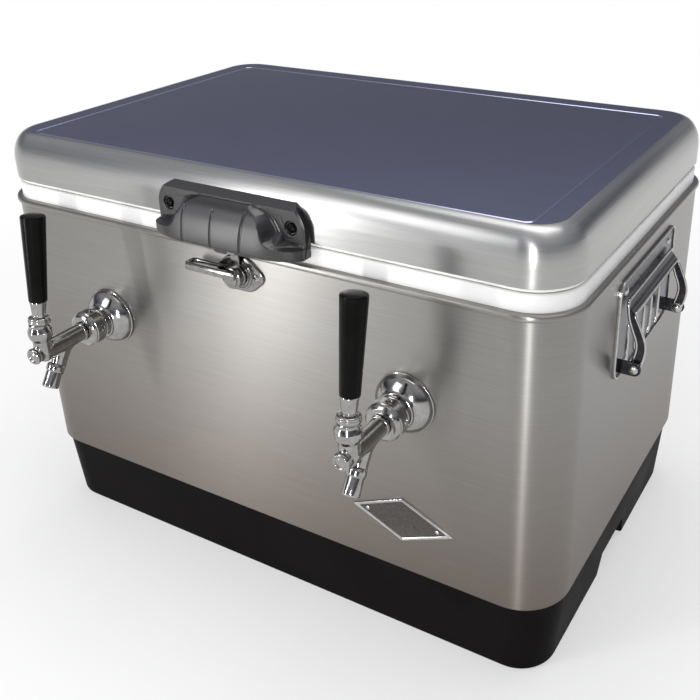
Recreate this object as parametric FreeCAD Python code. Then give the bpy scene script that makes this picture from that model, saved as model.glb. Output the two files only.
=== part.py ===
import FreeCAD, Part
import math
import os

os.makedirs("parts", exist_ok=True)
V = FreeCAD.Vector
outward = V(0, -1, 0)
inward = V(0, 1, 0)
upward = V(0, 0, 1)

# A two-tap jockey box: a steel-belted ice chest with a cold plate, beer lines and draught faucets.
# Millimetres. Origin at the middle of the underside, +X to the right of the taps' side, the taps
# face -Y, +Z up. An inset is measured inward from the outer face of the steel belt.

# chest shells
belt_width = 600.0
belt_depth = 392.0
belt_corner = 45.0
belt_sheet = 0.8
belt_height = 280.0
bead_height = 6.0
bead_flare = 2.4
bead_round = 2.2
bead_round_share = 0.45
bead_clearance = 0.5
base_height = 79.0
base_top_inset = 3.5
base_foot_inset = 9.5
base_wall = 3.0
base_foot_round = 4.0
handhold_foot = 80.0
handhold_top = 62.0
handhold_height = 26.0
handhold_depth = 38.0
wall_thickness = 40.0
cavity_corner = 28.0
cavity_floor = 45.0
liner_wall = 2.5
rim_inset = 3.2
rim_height = 15.0
step_width = 8.0
step_depth = 7.0
rim_round = 2.0

# lid
lid_gap = 0.8
lip_inset = 4.5
lip_height = 3.2
lip_round = 1.0
lid_inset = 2.3
lid_height = 44.0
lid_sheet = 1.0
lid_roll = 27.0
plug_gap = 3.0
plug_wall = 2.5
plug_clearance = 0.6

# lid grip
grip_width = 154.0
grip_low_drop = 12.0
grip_rise = 34.0
grip_chamfer_width = 17.0
grip_chamfer_height = 14.0
grip_plate = 7.5
grip_wrap = 14.0
bulge_width = 114.0
bulge_x = -4.0
bulge_reach = 19.0
bulge_rise = 26.0
bulge_wall = 3.0
bulge_steps = 8
grip_screw_spacing = 130.0
grip_screw_rise = 13.0
grip_screw_radius = 3.6
grip_screw_head = 2.4
grip_screw_bite = 5.0
tongue_x = 6.0
tongue_width = 38.0
tongue_thick = 4.8
tongue_drop = 19.5
tongue_height = 13.0

# latch
latch_x = 4.0
latch_drop = 22.0
escutcheon_width = 55.0
escutcheon_height = 31.4
escutcheon_thick = 2.5
escutcheon_end = 9.0
escutcheon_round = 3.0
escutcheon_screw_spacing = 36.0
latch_screw_radius = 3.2
latch_screw_head = 1.6
turret_radius = 11.5
turret_flat = 8.5
spindle_radius = 3.0
spindle_clearance = 0.05
spindle_end_gap = 0.4
lever_gap = 0.4
hub_radius = 10.0
hub_height = 9.0
hub_cap_radius = 7.5
hub_cap = 2.0
hub_window_gap = 1.0
loop_length = 47.0
loop_taper = 13.0
loop_setback = 1.0
loop_depth = 13.0
loop_bar = 4.0
loop_back_bar = 2.8
loop_tip_bar = 8.0
loop_height = 6.5
loop_rise = 4.5
cam_width = 9.0
cam_thick = 1.6
cam_overlap = 1.0
strike_x = -3.0
strike_width = 22.0
strike_thick = 1.5
strike_drop = 2.5
strike_foot = 0.5
strike_gap = 0.8
strike_clearance = 0.6

# side handles
plate_width = 160.0
plate_height = 93.0
plate_drop = 109.0
plate_corner = 12.0
plate_sheet = 1.2
plate_rim = 3.0
plate_rim_height = 1.8
plate_rib_count = 5
plate_rib_pitch = 26.0
plate_rib_width = 3.0
plate_rib_height = 1.0
plate_rib_length = 34.0
plate_rib_low = 11.0
rivet_radius = 4.0
rivet_head = 1.8
rivet_shank = 1.9
rivet_length = 5.0
rivet_spacing = 124.0
rivet_top_drop = 13.0
rivet_low_rise = 9.0
rivet_low_spacing = 100.0
bail_span = 134.0
bail_arm = 4.0
bail_arm_width = 8.0
bail_eye = 5.0
pivot_reach = 15.0
pivot_rise = 12.5
pivot_radius = 2.5
pivot_clearance = 0.05
bail_bow = 20.5
bail_bow_rise = 38.0
strap_reach = 4.0
strap_low_rise = 50.0
strap_width = 20.0
strap_join = 15.0
strap_thick = 2.0
strap_bead = 2.2
ear_thick = 2.5
ear_gap = 0.5
ear_width = 15.0
pin_head_radius = 4.2
pin_head = 1.6
pin_gap = 0.3

# badge
badge_x = 160.0
badge_rise = 55.0
badge_width = 103.0
badge_height = 46.0
badge_thick = 1.6
badge_rim = 2.4
badge_recess = 0.6
badge_rivet_spacing = 70.0
badge_rivet_radius = 2.0
badge_rivet_head = 0.9

# taps: distances called "out" are measured from the chest's wall
tap_spacing = 331.0
tap_drop = 103.0
shank_radius = 11.1
shank_bore = 3.2
shank_hole_clearance = 0.4
shank_shoulder_radius = 14.0
shank_shoulder = 2.0
shank_inner_length = 82.0
shank_seat_radius = 7.2
shank_seat_depth = 20.0
barb_radius = 4.8
barb_length = 20.0
flange_radius = 27.5
flange_neck_radius = 16.5
flange_depth = 16.0
bell_wall = 1.6
bell_edge = 1.0
bell_neck = 2.0
bell_steps = 6
thread_clearance = 0.05
nut_radius = 17.0
nut_length = 20.0
nut_step = 5.0
nut_step_drop = 2.0
nut_bevel = 3.5
nut_front_radius = 13.5
nut_gap = 0.3
nut_lip = 4.5
spanner_hole_radius = 2.8
spanner_hole_depth = 3.0
spanner_hole_count = 5
spanner_hole_place = 10.5
collar_radius = 12.8
collar_length = 4.5
collar_clearance = 0.3
barrel_radius = 8.6
barrel_clearance = 0.4
valve_out = 83.0
front_boss_radius = 7.4
front_boss_length = 9.5
knob_radius = 7.6
knob_length = 4.0
knob_crown = 2.2
plug_thread_radius = 4.7
plug_thread = 2.0
housing_radius = 8.6
housing_rise = 15.0
housing_neck_radius = 7.9
housing_neck = 5.0
pivot_height = 21.0
spout_start_out = 49.2
spout_bend_radius = 22.0
spout_bend = 58.0
spout_straight = 31.0
spout_radius = 7.0
spout_bore = 5.0
shaft_bore = 4.2
shaft_clearance = 0.08
shaft_rod_radius = 2.4
shaft_guide = 13.0
shaft_end_gap = 0.5
seal_radius = 5.8
seal_thick = 4.0
seal_gap = 0.3
bonnet_radius = 10.8
bonnet_dome_radius = 12.0
ball_radius = 6.5
ball_clearance = 0.1
stem_radius = 3.0
arm_radius = 1.6
arm_ball_radius = 2.6
arm_clearance = 0.4
arm_slack = 0.5
swing_mouth = 5.1
swing_spare = 1.0
swing_floor = 3.6
swing_low_radius = 5.0
swing_high_radius = 9.0
swing_low = 3.0
cap_gap = 0.4
cap_radius = 9.5
cap_low = 4.0
cap_top = 13.5
cap_round = 1.2
ferrule_length = 15.0
ferrule_ring = 1.5
ferrule_low_radius = 6.0
ferrule_high_radius = 7.3
stem_top = 26.0
handle_length = 78.5
handle_low_radius = 8.0
handle_high_radius = 10.8
handle_crown = 2.0
tap_lean = 8.5
tap_swing = 30.0

# inlets, lock nuts, cold plate and lines
inlet_spacing = 180.0
inlet_flange_radius = 21.0
inlet_flange_neck = 15.0
inlet_flange_depth = 9.0
inlet_shoulder_radius = 15.0
inlet_shoulder = 8.0
inlet_stub = 18.0
lock_nut_flats = 32.0
lock_nut_length = 9.0
cold_plate_width = 380.0
cold_plate_depth = 254.0
cold_plate_height = 38.0
cold_plate_round = 4.0
fitting_flats = 17.0
fitting_hex = 8.0
fitting_barb = 20.0
line_radius = 6.5
line_inlet_y = 26.0
line_outlet_y = -26.0
line_bend = 48.0
clamp_thick = 1.2
clamp_width = 7.0
clamp_back = 5.0
clamp_screw_radius = 2.6
clamp_screw_rise = 1.6
clamp_screw_length = 9.0

# drain
drain_z = 60.0
drain_radius = 9.0
drain_bore = 7.0
drain_clearance = 0.2
drain_flange_radius = 15.0
drain_flange = 2.5
drain_boss_radius = 18.0
drain_boss = 6.0
drain_reach = 14.0
drain_cap_radius = 14.0
drain_cap_length = 15.0
drain_cap_clearance = 0.08
drain_cap_gap = 0.4
drain_cap_round = 2.0
drain_cap_grips = 8
drain_cap_grip = 2.4
drain_cap_grip_out = 1.0
drain_nut_flats = 26.0
drain_nut_length = 5.0

# hinges
hinge_spacing = 380.0
hinge_width = 60.0
hinge_leaf = 2.0
hinge_axis_out = 5.5
hinge_axis_drop = 7.0
hinge_knuckle = 4.0
hinge_pin = 2.0
hinge_pin_clearance = 0.05
hinge_mid = 30.0
hinge_gap = 0.4
hinge_body_length = 46.0
hinge_lid_length = 17.0
hinge_pin_head = 1.5
hinge_pin_head_radius = 3.2
hinge_bead_gap = 0.3
hinge_joggle = 4.0
hinge_leaf_rise = 1.0
hinge_screw_radius = 2.8
hinge_screw_head = 1.2
hinge_screw_shank = 1.6
hinge_screw_length = 5.0
hinge_screw_spacing = 40.0
hinge_edge = 9.0

# cutting pieces pass this far beyond the faces they cut, and faces this close count as level
overrun = 1.0
same_level = 0.001

# levels and faces that follow
belt_high = base_height + belt_height
rim_high = belt_high + rim_height
lip_low = rim_high + lid_gap
lid_low = lip_low + lip_height
lid_high = lid_low + lid_height
front_y = -belt_depth / 2
back_y = belt_depth / 2
side_x = belt_width / 2
lid_front = front_y + lid_inset
inner_front = front_y + wall_thickness
inner_back = back_y - wall_thickness
tap_places = {
    "left": -tap_spacing / 2,
    "right": tap_spacing / 2,
}
inlet_places = {
    "left": -inlet_spacing / 2,
    "right": inlet_spacing / 2,
}
latch_z = belt_high - latch_drop
tap_z = belt_high - tap_drop
plate_low = belt_high - plate_drop
badge_z = base_height + badge_rise


def save(node, *solids):
    shape = solids[0] if len(solids) == 1 else Part.makeCompound(list(solids))
    shape.exportStep("parts/" + node + ".step")


def fuse(*shapes):
    whole = shapes[0].fuse(list(shapes[1:]))
    return whole.removeSplitter()


def plan_wire(inset, z, corner=None):
    # rounded rectangle at height z, inset from the belt's outer face
    half_x = side_x - inset
    half_y = back_y - inset
    radius = belt_corner - inset if corner is None else corner
    lean = radius * (1 - math.sqrt(0.5))
    arcs = []
    for index, (sx, sy) in enumerate(((1, -1), (1, 1), (-1, 1), (-1, -1))):
        on_long_side = V(sx * (half_x - radius), sy * half_y, z)
        on_short_side = V(sx * half_x, sy * (half_y - radius), z)
        middle = V(sx * (half_x - lean), sy * (half_y - lean), z)
        ends = [on_long_side, on_short_side]
        if index % 2:
            ends.reverse()
        arcs.append((ends[0], middle, ends[1]))
    wire = []
    for index, (start, middle, end) in enumerate(arcs):
        wire.append(Part.Arc(start, middle, end).toShape())
        wire.append(Part.makeLine(end, arcs[(index + 1) % 4][0]))
    return Part.Wire(wire)


def block(inset, low, high, corner=None):
    # straight-sided block with the chest's rounded plan
    return Part.Face(plan_wire(inset, low, corner)).extrude(V(0, 0, high - low))


def tapered(low_inset, high_inset, low, high):
    return Part.makeLoft([plan_wire(low_inset, low), plan_wire(high_inset, high)], True, True)


def level_edges(shape, level, axis="Z"):
    # edges that lie flat at one level of an axis
    low = [getattr(edge.BoundBox, axis + "Min") for edge in shape.Edges]
    high = [getattr(edge.BoundBox, axis + "Max") for edge in shape.Edges]
    return [e for e, a, b in zip(shape.Edges, low, high) if max(abs(a - level), abs(b - level)) < same_level]


def round_top(shape, radius, level):
    return shape.makeFillet(radius, level_edges(shape, level))


def prism(points, vector):
    return Part.Face(Part.makePolygon(points + [points[0]])).extrude(vector)


def box(low, high):
    size = [b - a for a, b in zip(low, high)]
    return Part.makeBox(*size, V(*low))


def rod(radius, start, end):
    run = end - start
    return Part.makeCylinder(radius, run.Length, start, run)


def turned(profile, origin, direction):
    # profile of (radius, height) points spun round an axis
    ring = Part.makePolygon([V(r, 0, h) for r, h in profile + [profile[0]]])
    solid = Part.Face(ring).revolve(V(0, 0, 0), V(0, 0, 1), 360)
    turn = FreeCAD.Rotation(V(0, 0, 1), direction)
    solid.Placement = FreeCAD.Placement(origin, turn)
    return solid


def hexagon(flats, length, origin, direction, bore=0.0):
    radius = flats / math.sqrt(3)
    angles = [side * math.pi / 3 for side in range(6)]
    solid = prism([V(radius * math.cos(a), radius * math.sin(a), 0) for a in angles], V(0, 0, length))
    if bore:
        solid = solid.cut(Part.makeCylinder(bore, length))
    solid.Placement = FreeCAD.Placement(origin, FreeCAD.Rotation(V(0, 0, 1), direction))
    return solid


def dome(radius, height, origin, direction):
    # shallow round head with its flat side on the surface
    sphere = (radius ** 2 + height ** 2) / (2 * height)
    ball = Part.makeSphere(sphere, V(0, 0, height - sphere))
    head = ball.common(Part.makeCylinder(radius + overrun, height))
    head.Placement = FreeCAD.Placement(origin, FreeCAD.Rotation(V(0, 0, 1), direction))
    return head


def fastener(head_radius, head, shank_radius, length, place, outward):
    # dome head on a surface with its shank behind it
    shank = rod(shank_radius, place - outward * length, place)
    return fuse(dome(head_radius, head, place, outward), shank)


# places that cut through several shells


def shank_holes(clearance):
    # four holes through the long walls, at the taps and the inlets
    radius = shank_radius + clearance
    holes = []
    for x in tap_places.values():
        holes.append(rod(radius, V(x, front_y - overrun, tap_z), V(x, inner_front + overrun, tap_z)))
    for x in inlet_places.values():
        holes.append(rod(radius, V(x, inner_back - overrun, tap_z), V(x, back_y + overrun, tap_z)))
    return holes


def drain_hole(clearance):
    reach = side_x + drain_boss
    inner_x = wall_thickness + overrun - side_x
    return rod(drain_radius + clearance, V(-reach, 0, drain_z), V(inner_x, 0, drain_z))


def plate_rivet_places(side):
    face = side * (side_x + plate_sheet)
    plate_high = plate_low + plate_height
    places = []
    for sy in (-1, 1):
        places.append(V(face, sy * rivet_spacing / 2, plate_high - rivet_top_drop))
        places.append(V(face, sy * rivet_low_spacing / 2, plate_low + rivet_low_rise))
    return places


def badge_rivet_places():
    face = front_y - badge_thick + badge_recess
    return [V(badge_x + s * badge_rivet_spacing / 2, face, badge_z) for s in (-1, 1)]


def latch_screw_places():
    face = front_y - escutcheon_thick
    return [V(latch_x + s * escutcheon_screw_spacing / 2, face, latch_z) for s in (-1, 1)]


def hinge_places():
    return [s * hinge_spacing / 2 for s in (-1, 1)]


def hinge_body_screw_places():
    face = back_y + hinge_leaf
    low = hinge_axis_z() - hinge_body_length + hinge_edge
    return [V(x + s * hinge_screw_spacing / 2, face, low) for x in hinge_places() for s in (-1, 1)]


def hinge_lid_screw_places():
    face = back_y - lid_inset + hinge_leaf
    high = lid_low + hinge_lid_length - hinge_edge
    return [V(x + s * hinge_screw_spacing / 2, face, high) for x in hinge_places() for s in (-1, 1)]


def hinge_axis_y():
    return back_y + hinge_axis_out


def hinge_axis_z():
    return lid_low - hinge_axis_drop


def plate_rivets():
    rivets = []
    for side in (-1, 1):
        for place in plate_rivet_places(side):
            rivets.append(fastener(rivet_radius, rivet_head, rivet_shank, rivet_length, place, V(side, 0, 0)))
    return rivets


def badge_rivets():
    shank = badge_rivet_radius / 2
    head = (badge_rivet_radius, badge_rivet_head)
    return [fastener(*head, shank, rivet_length, place, outward) for place in badge_rivet_places()]


def latch_screws():
    shank = latch_screw_radius / 2
    head = (latch_screw_radius, latch_screw_head)
    return [fastener(*head, shank, rivet_length, place, outward) for place in latch_screw_places()]


def hinge_screws(places):
    head = (hinge_screw_radius, hinge_screw_head)
    return [fastener(*head, hinge_screw_shank, hinge_screw_length, place, inward) for place in places]


def wall_fasteners():
    return plate_rivets() + badge_rivets() + latch_screws() + hinge_screws(hinge_body_screw_places())


# chest shells


def handhold(growth):
    # arched pocket under each short side, for lifting the chest by its base
    foot_x = side_x - base_foot_inset
    inner_x = foot_x - handhold_depth - growth
    foot = handhold_foot / 2 + growth
    top = handhold_top / 2 + growth
    height = handhold_height + growth
    pockets = []
    for side in (-1, 1):
        corners = ((-foot, 0), (foot, 0), (top, height), (-top, height))
        outline = [V(side * inner_x, y, z) for y, z in corners]
        pockets.append(prism(outline, V(side * (side_x - inner_x), 0, 0)))
    return pockets


def base_room():
    # the space inside the base's wall
    room = tapered(base_foot_inset + base_wall, base_top_inset + base_wall, 0, base_height)
    room = room.common(box((-side_x, front_y, base_wall), (side_x, back_y, base_height)))
    return room.cut(handhold(base_wall))


def base_tray():
    tray = tapered(base_foot_inset, base_top_inset, 0, base_height)
    tray = tray.makeFillet(base_foot_round, level_edges(tray, 0))
    wall_x = base_foot_inset + base_wall - side_x
    boss = rod(drain_boss_radius, V(drain_face(), 0, drain_z), V(wall_x, 0, drain_z))
    tray = fuse(tray, boss).cut(handhold(0))
    return tray.cut([base_room(), drain_hole(drain_clearance)])


def drain_face():
    return -(side_x - base_top_inset) - drain_boss / 2


def steel_belt():
    bead_low = belt_high - bead_height
    bead = block(-bead_flare, bead_low, belt_high)
    rims = level_edges(bead, bead_low) + level_edges(bead, belt_high)
    bead = bead.makeFillet(min(bead_round, bead_round_share * bead_height), rims)
    band = fuse(block(0, base_height, belt_high), bead)
    band = band.cut([belt_room(), block(rim_inset, belt_high - belt_sheet, belt_high)])
    return band.cut(shank_holes(shank_hole_clearance) + wall_fasteners())


def belt_room():
    # the sheet turns inward over this room, up to the white rim
    return block(belt_sheet, base_height, belt_high - belt_sheet)


def cavity():
    return block(wall_thickness, cavity_floor, rim_high, cavity_corner)


def tub():
    return block(wall_thickness - liner_wall, cavity_floor - liner_wall, rim_high, cavity_corner + liner_wall)


def lid_seat(growth):
    # shallow step round the mouth that takes the lid's plug
    inset = wall_thickness - step_width - growth
    return block(inset, rim_high - step_depth - growth, rim_high, cavity_corner + step_width + growth)


def rim_room():
    return block(rim_inset + liner_wall, belt_high, rim_high - liner_wall)


def wall_holes():
    return shank_holes(shank_hole_clearance) + [drain_hole(drain_clearance)]


def inner_liner():
    rim = round_top(block(rim_inset, belt_high, rim_high), rim_round, rim_high).cut(rim_room())
    shell = fuse(rim, tub(), lid_seat(liner_wall))
    return shell.cut([cavity(), lid_seat(0)] + wall_holes())


def body_foam():
    under_rim = block(rim_inset, belt_high - belt_sheet, belt_high)
    room = fuse(base_room(), belt_room(), under_rim, rim_room())
    return room.cut([tub(), lid_seat(liner_wall)] + wall_holes() + wall_fasteners())


# badge


def badge_outline(inset, y):
    # long diamond, drawn in by the same amount along each of its four sides
    half = badge_width / 2
    rise = badge_height / 2
    share = 1 - inset * math.hypot(half, rise) / (half * rise)
    points = ((-half, 0), (0, -rise), (half, 0), (0, rise))
    return [V(badge_x + share * x, y, badge_z + share * z) for x, z in points]


def badge_plate():
    plate = prism(badge_outline(0, front_y), V(0, -badge_thick, 0))
    recess = prism(badge_outline(badge_rim, front_y - badge_thick), V(0, badge_recess, 0))
    return plate.cut([recess] + badge_rivets())


# lid


def lid_form():
    return round_top(block(lid_inset, lid_low, lid_high), lid_roll, lid_high)


def lid_room():
    room = block(lid_inset + lid_sheet, lid_low, lid_high - lid_sheet)
    return round_top(room, lid_roll - lid_sheet, lid_high - lid_sheet)


def lid_screws():
    return hinge_screws(hinge_lid_screw_places()) + grip_screws()


def lid_skin():
    return lid_form().cut([lid_room()] + lid_screws())


def plug(low, growth):
    # boss of the lid's liner that reaches down into the mouth
    inset = wall_thickness - step_width + plug_gap - growth
    return block(inset, low, lid_low, cavity_corner + step_width - plug_gap + growth)


def plug_low():
    return rim_high - step_depth + plug_clearance


def lid_liner():
    lip = block(lip_inset, lip_low, lid_low)
    lip = lip.makeFillet(lip_round, level_edges(lip, lip_low))
    return fuse(lip, plug(plug_low(), 0)).cut(plug(plug_low() + plug_wall, -plug_wall))


def lid_foam():
    return fuse(lid_room(), plug(plug_low() + plug_wall, -plug_wall)).cut(lid_screws())


def grip_plate_front():
    return lid_front - grip_plate


def grip_outline(y):
    half = grip_width / 2
    low = lid_low - grip_low_drop
    high = lid_low + grip_rise
    shoulder = half - grip_chamfer_width
    corner = high - grip_chamfer_height
    points = ((-half, low), (half, low), (half, corner), (shoulder, high), (-shoulder, high), (-half, corner))
    return [V(x, y, z) for x, z in points]


def bulge_profile(x, wall):
    # quarter-oval section of the pull
    face = grip_plate_front()
    low = lid_low - grip_low_drop
    reach = bulge_reach - wall
    rise = bulge_rise + grip_low_drop - wall
    points = [V(x, face, low)]
    for step in range(bulge_steps + 1):
        angle = math.pi / 2 * step / bulge_steps
        points.append(V(x, face - reach * math.cos(angle), low + rise * math.sin(angle)))
    return points


def lid_grip():
    # plate on the lid's skirt with a hollow pull that is open below for the fingers
    front = grip_plate_front()
    plate = prism(grip_outline(front), V(0, grip_plate, 0))
    above = box((-side_x, front_y, lid_low), (side_x, back_y, lid_high))
    wrap = prism(grip_outline(lid_front), V(0, grip_wrap, 0)).common(above).cut(lid_form())
    bulge = prism(bulge_profile(bulge_x - bulge_width / 2, 0), V(bulge_width, 0, 0))
    hollow_half = bulge_width / 2 - bulge_wall
    hollow = prism(bulge_profile(bulge_x - hollow_half, bulge_wall), V(2 * hollow_half, 0, 0))
    half = strike_width / 2 + strike_gap
    notch_low = (strike_x - half, front - overrun, lid_low - grip_low_drop - overrun)
    notch = box(notch_low, (strike_x + half, lid_front, strike_top()))
    shell = fuse(plate, wrap, bulge).cut([hollow, notch] + grip_screws())
    return fuse(shell, tongue())


def tongue():
    # thumb piece that hangs from the grip's plate, in front of the strike tab
    low = lid_low - tongue_drop
    left = tongue_x - tongue_width / 2
    face = grip_plate_front()
    return box((left, face - tongue_thick, low), (left + tongue_width, face, low + tongue_height))


def grip_screws():
    shank = grip_screw_radius / 2
    length = grip_plate + grip_screw_bite
    screws = []
    for s in (-1, 1):
        place = V(s * grip_screw_spacing / 2, grip_plate_front(), lid_low + grip_screw_rise)
        screws.append(fastener(grip_screw_radius, grip_screw_head, shank, length, place, outward))
    return screws


# latch


def strike_front():
    return front_y - bead_flare - bead_clearance - strike_thick


def strike_low():
    return belt_high - strike_drop


def strike_top():
    return lid_low + strike_foot + strike_thick


def strike_tab():
    # tongue of the lid that hangs inside the grip, in front of the rim
    left = strike_x - strike_width / 2
    right = strike_x + strike_width / 2
    y = strike_front()
    tongue = box((left, y, strike_low()), (right, y + strike_thick, strike_top()))
    foot = box((left, y, lid_low + strike_foot), (right, lid_front, strike_top()))
    return fuse(tongue, foot)


def lever_back():
    return strike_front() - strike_clearance


def escutcheon_outline(y):
    # flat diamond with its four points cut off
    half = escutcheon_width / 2
    rise = escutcheon_height / 2
    end = escutcheon_end / 2
    waist = turret_radius
    right = ((waist, -rise), (half, -end), (half, end), (waist, rise))
    left = ((-waist, rise), (-half, end), (-half, -end), (-waist, -rise))
    return [V(latch_x + x, y, latch_z + z) for x, z in right + left]


def latch_escutcheon():
    face = front_y - escutcheon_thick
    plate = prism(escutcheon_outline(front_y), V(0, -escutcheon_thick, 0))
    corners = [e for e in plate.Edges if abs(e.BoundBox.YLength - escutcheon_thick) < same_level]
    plate = plate.makeFillet(escutcheon_round, corners)
    turret = rod(turret_radius, V(latch_x, face, latch_z), V(latch_x, lever_back() + lever_gap, latch_z))
    top_low = (latch_x - turret_radius, lever_back(), latch_z + turret_flat)
    top = box(top_low, (latch_x + turret_radius, face, latch_z + 2 * turret_radius))
    spindle_end = lever_back() - hub_height + 2 * spindle_end_gap
    spindle = rod(spindle_radius, V(latch_x, face, latch_z), V(latch_x, spindle_end, latch_z))
    return fuse(plate, turret.cut(top), spindle).cut(latch_screws())


def latch_lever():
    # thumb turn: a hub on the spindle, a looped wing and a cam finger that bears on the tongue
    back = lever_back()
    front = back - hub_height
    hub = rod(hub_radius, V(latch_x, back, latch_z), V(latch_x, front, latch_z))
    cap = rod(hub_cap_radius, V(latch_x, front, latch_z), V(latch_x, front - hub_cap, latch_z))
    low = latch_z + loop_rise - loop_height / 2
    tip = latch_x - loop_length
    wing_back = back - loop_setback
    wing_front = wing_back - loop_depth
    corners = ((tip, wing_front), (latch_x, wing_front), (latch_x, wing_back), (tip + loop_taper, wing_back))
    wing = prism([V(x, y, low) for x, y in corners], V(0, 0, loop_height))
    window_end = latch_x - hub_radius - hub_window_gap
    window_front = wing_front + loop_bar
    window_back = wing_back - loop_back_bar
    window_tip = tip + loop_tip_bar
    window_lean = loop_taper * (window_back - window_front) / loop_depth
    corners = (
        (window_tip, window_front),
        (window_end, window_front),
        (window_end, window_back),
        (window_tip + window_lean, window_back),
    )
    window = prism([V(x, y, low) for x, y in corners], V(0, 0, loop_height))
    finger_low = (latch_x - cam_width / 2, back - cam_thick, latch_z)
    finger = box(finger_low, (latch_x + cam_width / 2, back, strike_low() + cam_overlap))
    bore_end = front + spindle_end_gap
    bore = rod(spindle_radius + spindle_clearance, V(latch_x, back, latch_z), V(latch_x, bore_end, latch_z))
    return fuse(hub, cap, wing.cut(window), finger).cut(bore)


# side handles


def handle_plate(side):
    # pressed plate with a raised rim and ribs, and an ear for each end of the bail
    rim = rounded_plate(side, 0, plate_sheet + plate_rim_height)
    rim = rim.cut(rounded_plate(side, plate_rim, plate_sheet + plate_rim_height))
    pieces = [rounded_plate(side, 0, plate_sheet), rim]
    rib_low = plate_low + plate_rib_low
    reach = plate_sheet + plate_rib_height
    for index in range(plate_rib_count):
        y = (index - (plate_rib_count - 1) / 2) * plate_rib_pitch - plate_rib_width / 2
        near, far = sorted((side * side_x, side * (side_x + reach)))
        pieces.append(box((near, y, rib_low), (far, y + plate_rib_width, rib_low + plate_rib_length)))
    pieces += [ear(side, -1), ear(side, 1)]
    outer = bail_span / 2 + ear_gap + ear_thick
    pin = rod(pivot_radius, pivot_point(side, -outer), pivot_point(side, outer))
    return fuse(*pieces).cut(plate_rivets() + [pin])


def rounded_plate(side, margin, thick):
    near, far = sorted((side * side_x, side * (side_x + thick)))
    half = plate_width / 2 - margin
    slab = box((near, -half, plate_low + margin), (far, half, plate_low + plate_height - margin))
    corners = [e for e in slab.Edges if abs(e.BoundBox.XLength - thick) < same_level]
    return slab.makeFillet(plate_corner - margin, corners)


def pivot_point(side, y):
    return V(side * (side_x + pivot_reach), y, plate_low + pivot_rise)


def ear(side, end):
    # bracket that stands out of the plate and carries one end of the bail
    near, far = sorted(end * (bail_span / 2 + ear_gap + step) for step in (0, ear_thick))
    pivot = pivot_point(side, near)
    low = pivot.z - ear_width / 2
    lug = rod(ear_width / 2, pivot, pivot_point(side, far))
    left, right = sorted((side * side_x, pivot.x))
    return fuse(lug, box((left, near, low), (right, far, low + ear_width)))


def arc_centre(a, b, c):
    # centre of the circle through three (x, z) points
    d = 2 * (a[0] * (b[1] - c[1]) + b[0] * (c[1] - a[1]) + c[0] * (a[1] - b[1]))
    sq = [p[0] ** 2 + p[1] ** 2 for p in (a, b, c)]
    x = (sq[0] * (b[1] - c[1]) + sq[1] * (c[1] - a[1]) + sq[2] * (a[1] - b[1])) / d
    z = (sq[0] * (c[0] - b[0]) + sq[1] * (a[0] - c[0]) + sq[2] * (b[0] - a[0])) / d
    return x, z


def bail(side):
    # swinging handle: two bowed arms and a ribbed strap across their tops
    pivot = (side_x + pivot_reach, plate_low + pivot_rise)
    bow = (side_x + bail_bow, plate_low + bail_bow_rise)
    strap_x = side_x + plate_sheet + strap_reach
    strap_low = plate_low + strap_low_rise
    head = (strap_x + strap_thick, strap_low + strap_join)
    centre_x, centre_z = arc_centre(pivot, bow, head)
    radius = math.hypot(pivot[0] - centre_x, pivot[1] - centre_z)
    half = bail_arm_width / 2
    arm_low = (strap_x, pivot[1])
    arm_high = (centre_x + radius + half, head[1] + half)
    long = bail_span / 2
    across = V(0, bail_arm, 0)
    pieces = []
    for y in (-long, long - bail_arm):
        centre = V(centre_x, y, centre_z)
        ring = rod(radius + half, centre, centre + across).cut(rod(radius - half, centre, centre + across))
        sector = box((arm_low[0], y, arm_low[1]), (arm_high[0], y + bail_arm, arm_high[1]))
        pieces.append(ring.common(sector))
        eye = V(pivot[0], y, pivot[1])
        pieces.append(rod(bail_eye, eye, eye + across))
    strap_high = strap_low + strap_width
    pieces.append(box((strap_x, -long, strap_low), (strap_x + strap_thick, long, strap_high)))
    for z in (strap_low + strap_bead, strap_high - strap_bead):
        pieces.append(rod(strap_bead, V(strap_x + strap_thick, -long, z), V(strap_x + strap_thick, long, z)))
    handle = fuse(*pieces)
    bore = rod(pivot_radius + pivot_clearance, V(pivot[0], -long, pivot[1]), V(pivot[0], long, pivot[1]))
    handle = handle.cut(bore)
    return handle if side > 0 else handle.mirror(V(0, 0, 0), V(1, 0, 0))


def handle_pins():
    pins = []
    for side in (-1, 1):
        for end in (-1, 1):
            inner = pivot_point(side, end * (bail_span / 2 - bail_arm - pin_gap))
            outer = pivot_point(side, end * (bail_span / 2 + ear_gap + ear_thick))
            head = dome(pin_head_radius, pin_head, outer, V(0, end, 0))
            tail = dome(pin_head_radius, pin_head, inner, V(0, -end, 0))
            pins.append(fuse(rod(pivot_radius, inner, outer), head, tail))
    return pins


# taps


def out(x, distance, z=tap_z):
    # a point this far out from the front wall
    return V(x, front_y - distance, z)


def nut_start():
    return flange_depth + shank_shoulder + nut_gap


def shank_front_out():
    # the shank ends inside the coupling nut, against the faucet's collar
    return nut_start() + nut_length - nut_lip - collar_length - collar_clearance


def tap_shank(x):
    face = shank_front_out()
    length = face + shank_inner_length
    profile = [
        (shank_seat_radius, 0),
        (shank_radius, 0),
        (shank_radius, face - flange_depth - shank_shoulder),
        (shank_shoulder_radius, face - flange_depth - shank_shoulder),
        (shank_shoulder_radius, face - flange_depth),
        (shank_radius, face - flange_depth),
        (shank_radius, length),
        (barb_radius, length),
        (barb_radius, length + barb_length),
        (shank_bore, length + barb_length),
        (shank_bore, shank_seat_depth),
        (shank_seat_radius, shank_seat_depth),
    ]
    return turned(profile, out(x, face), inward)


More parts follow.
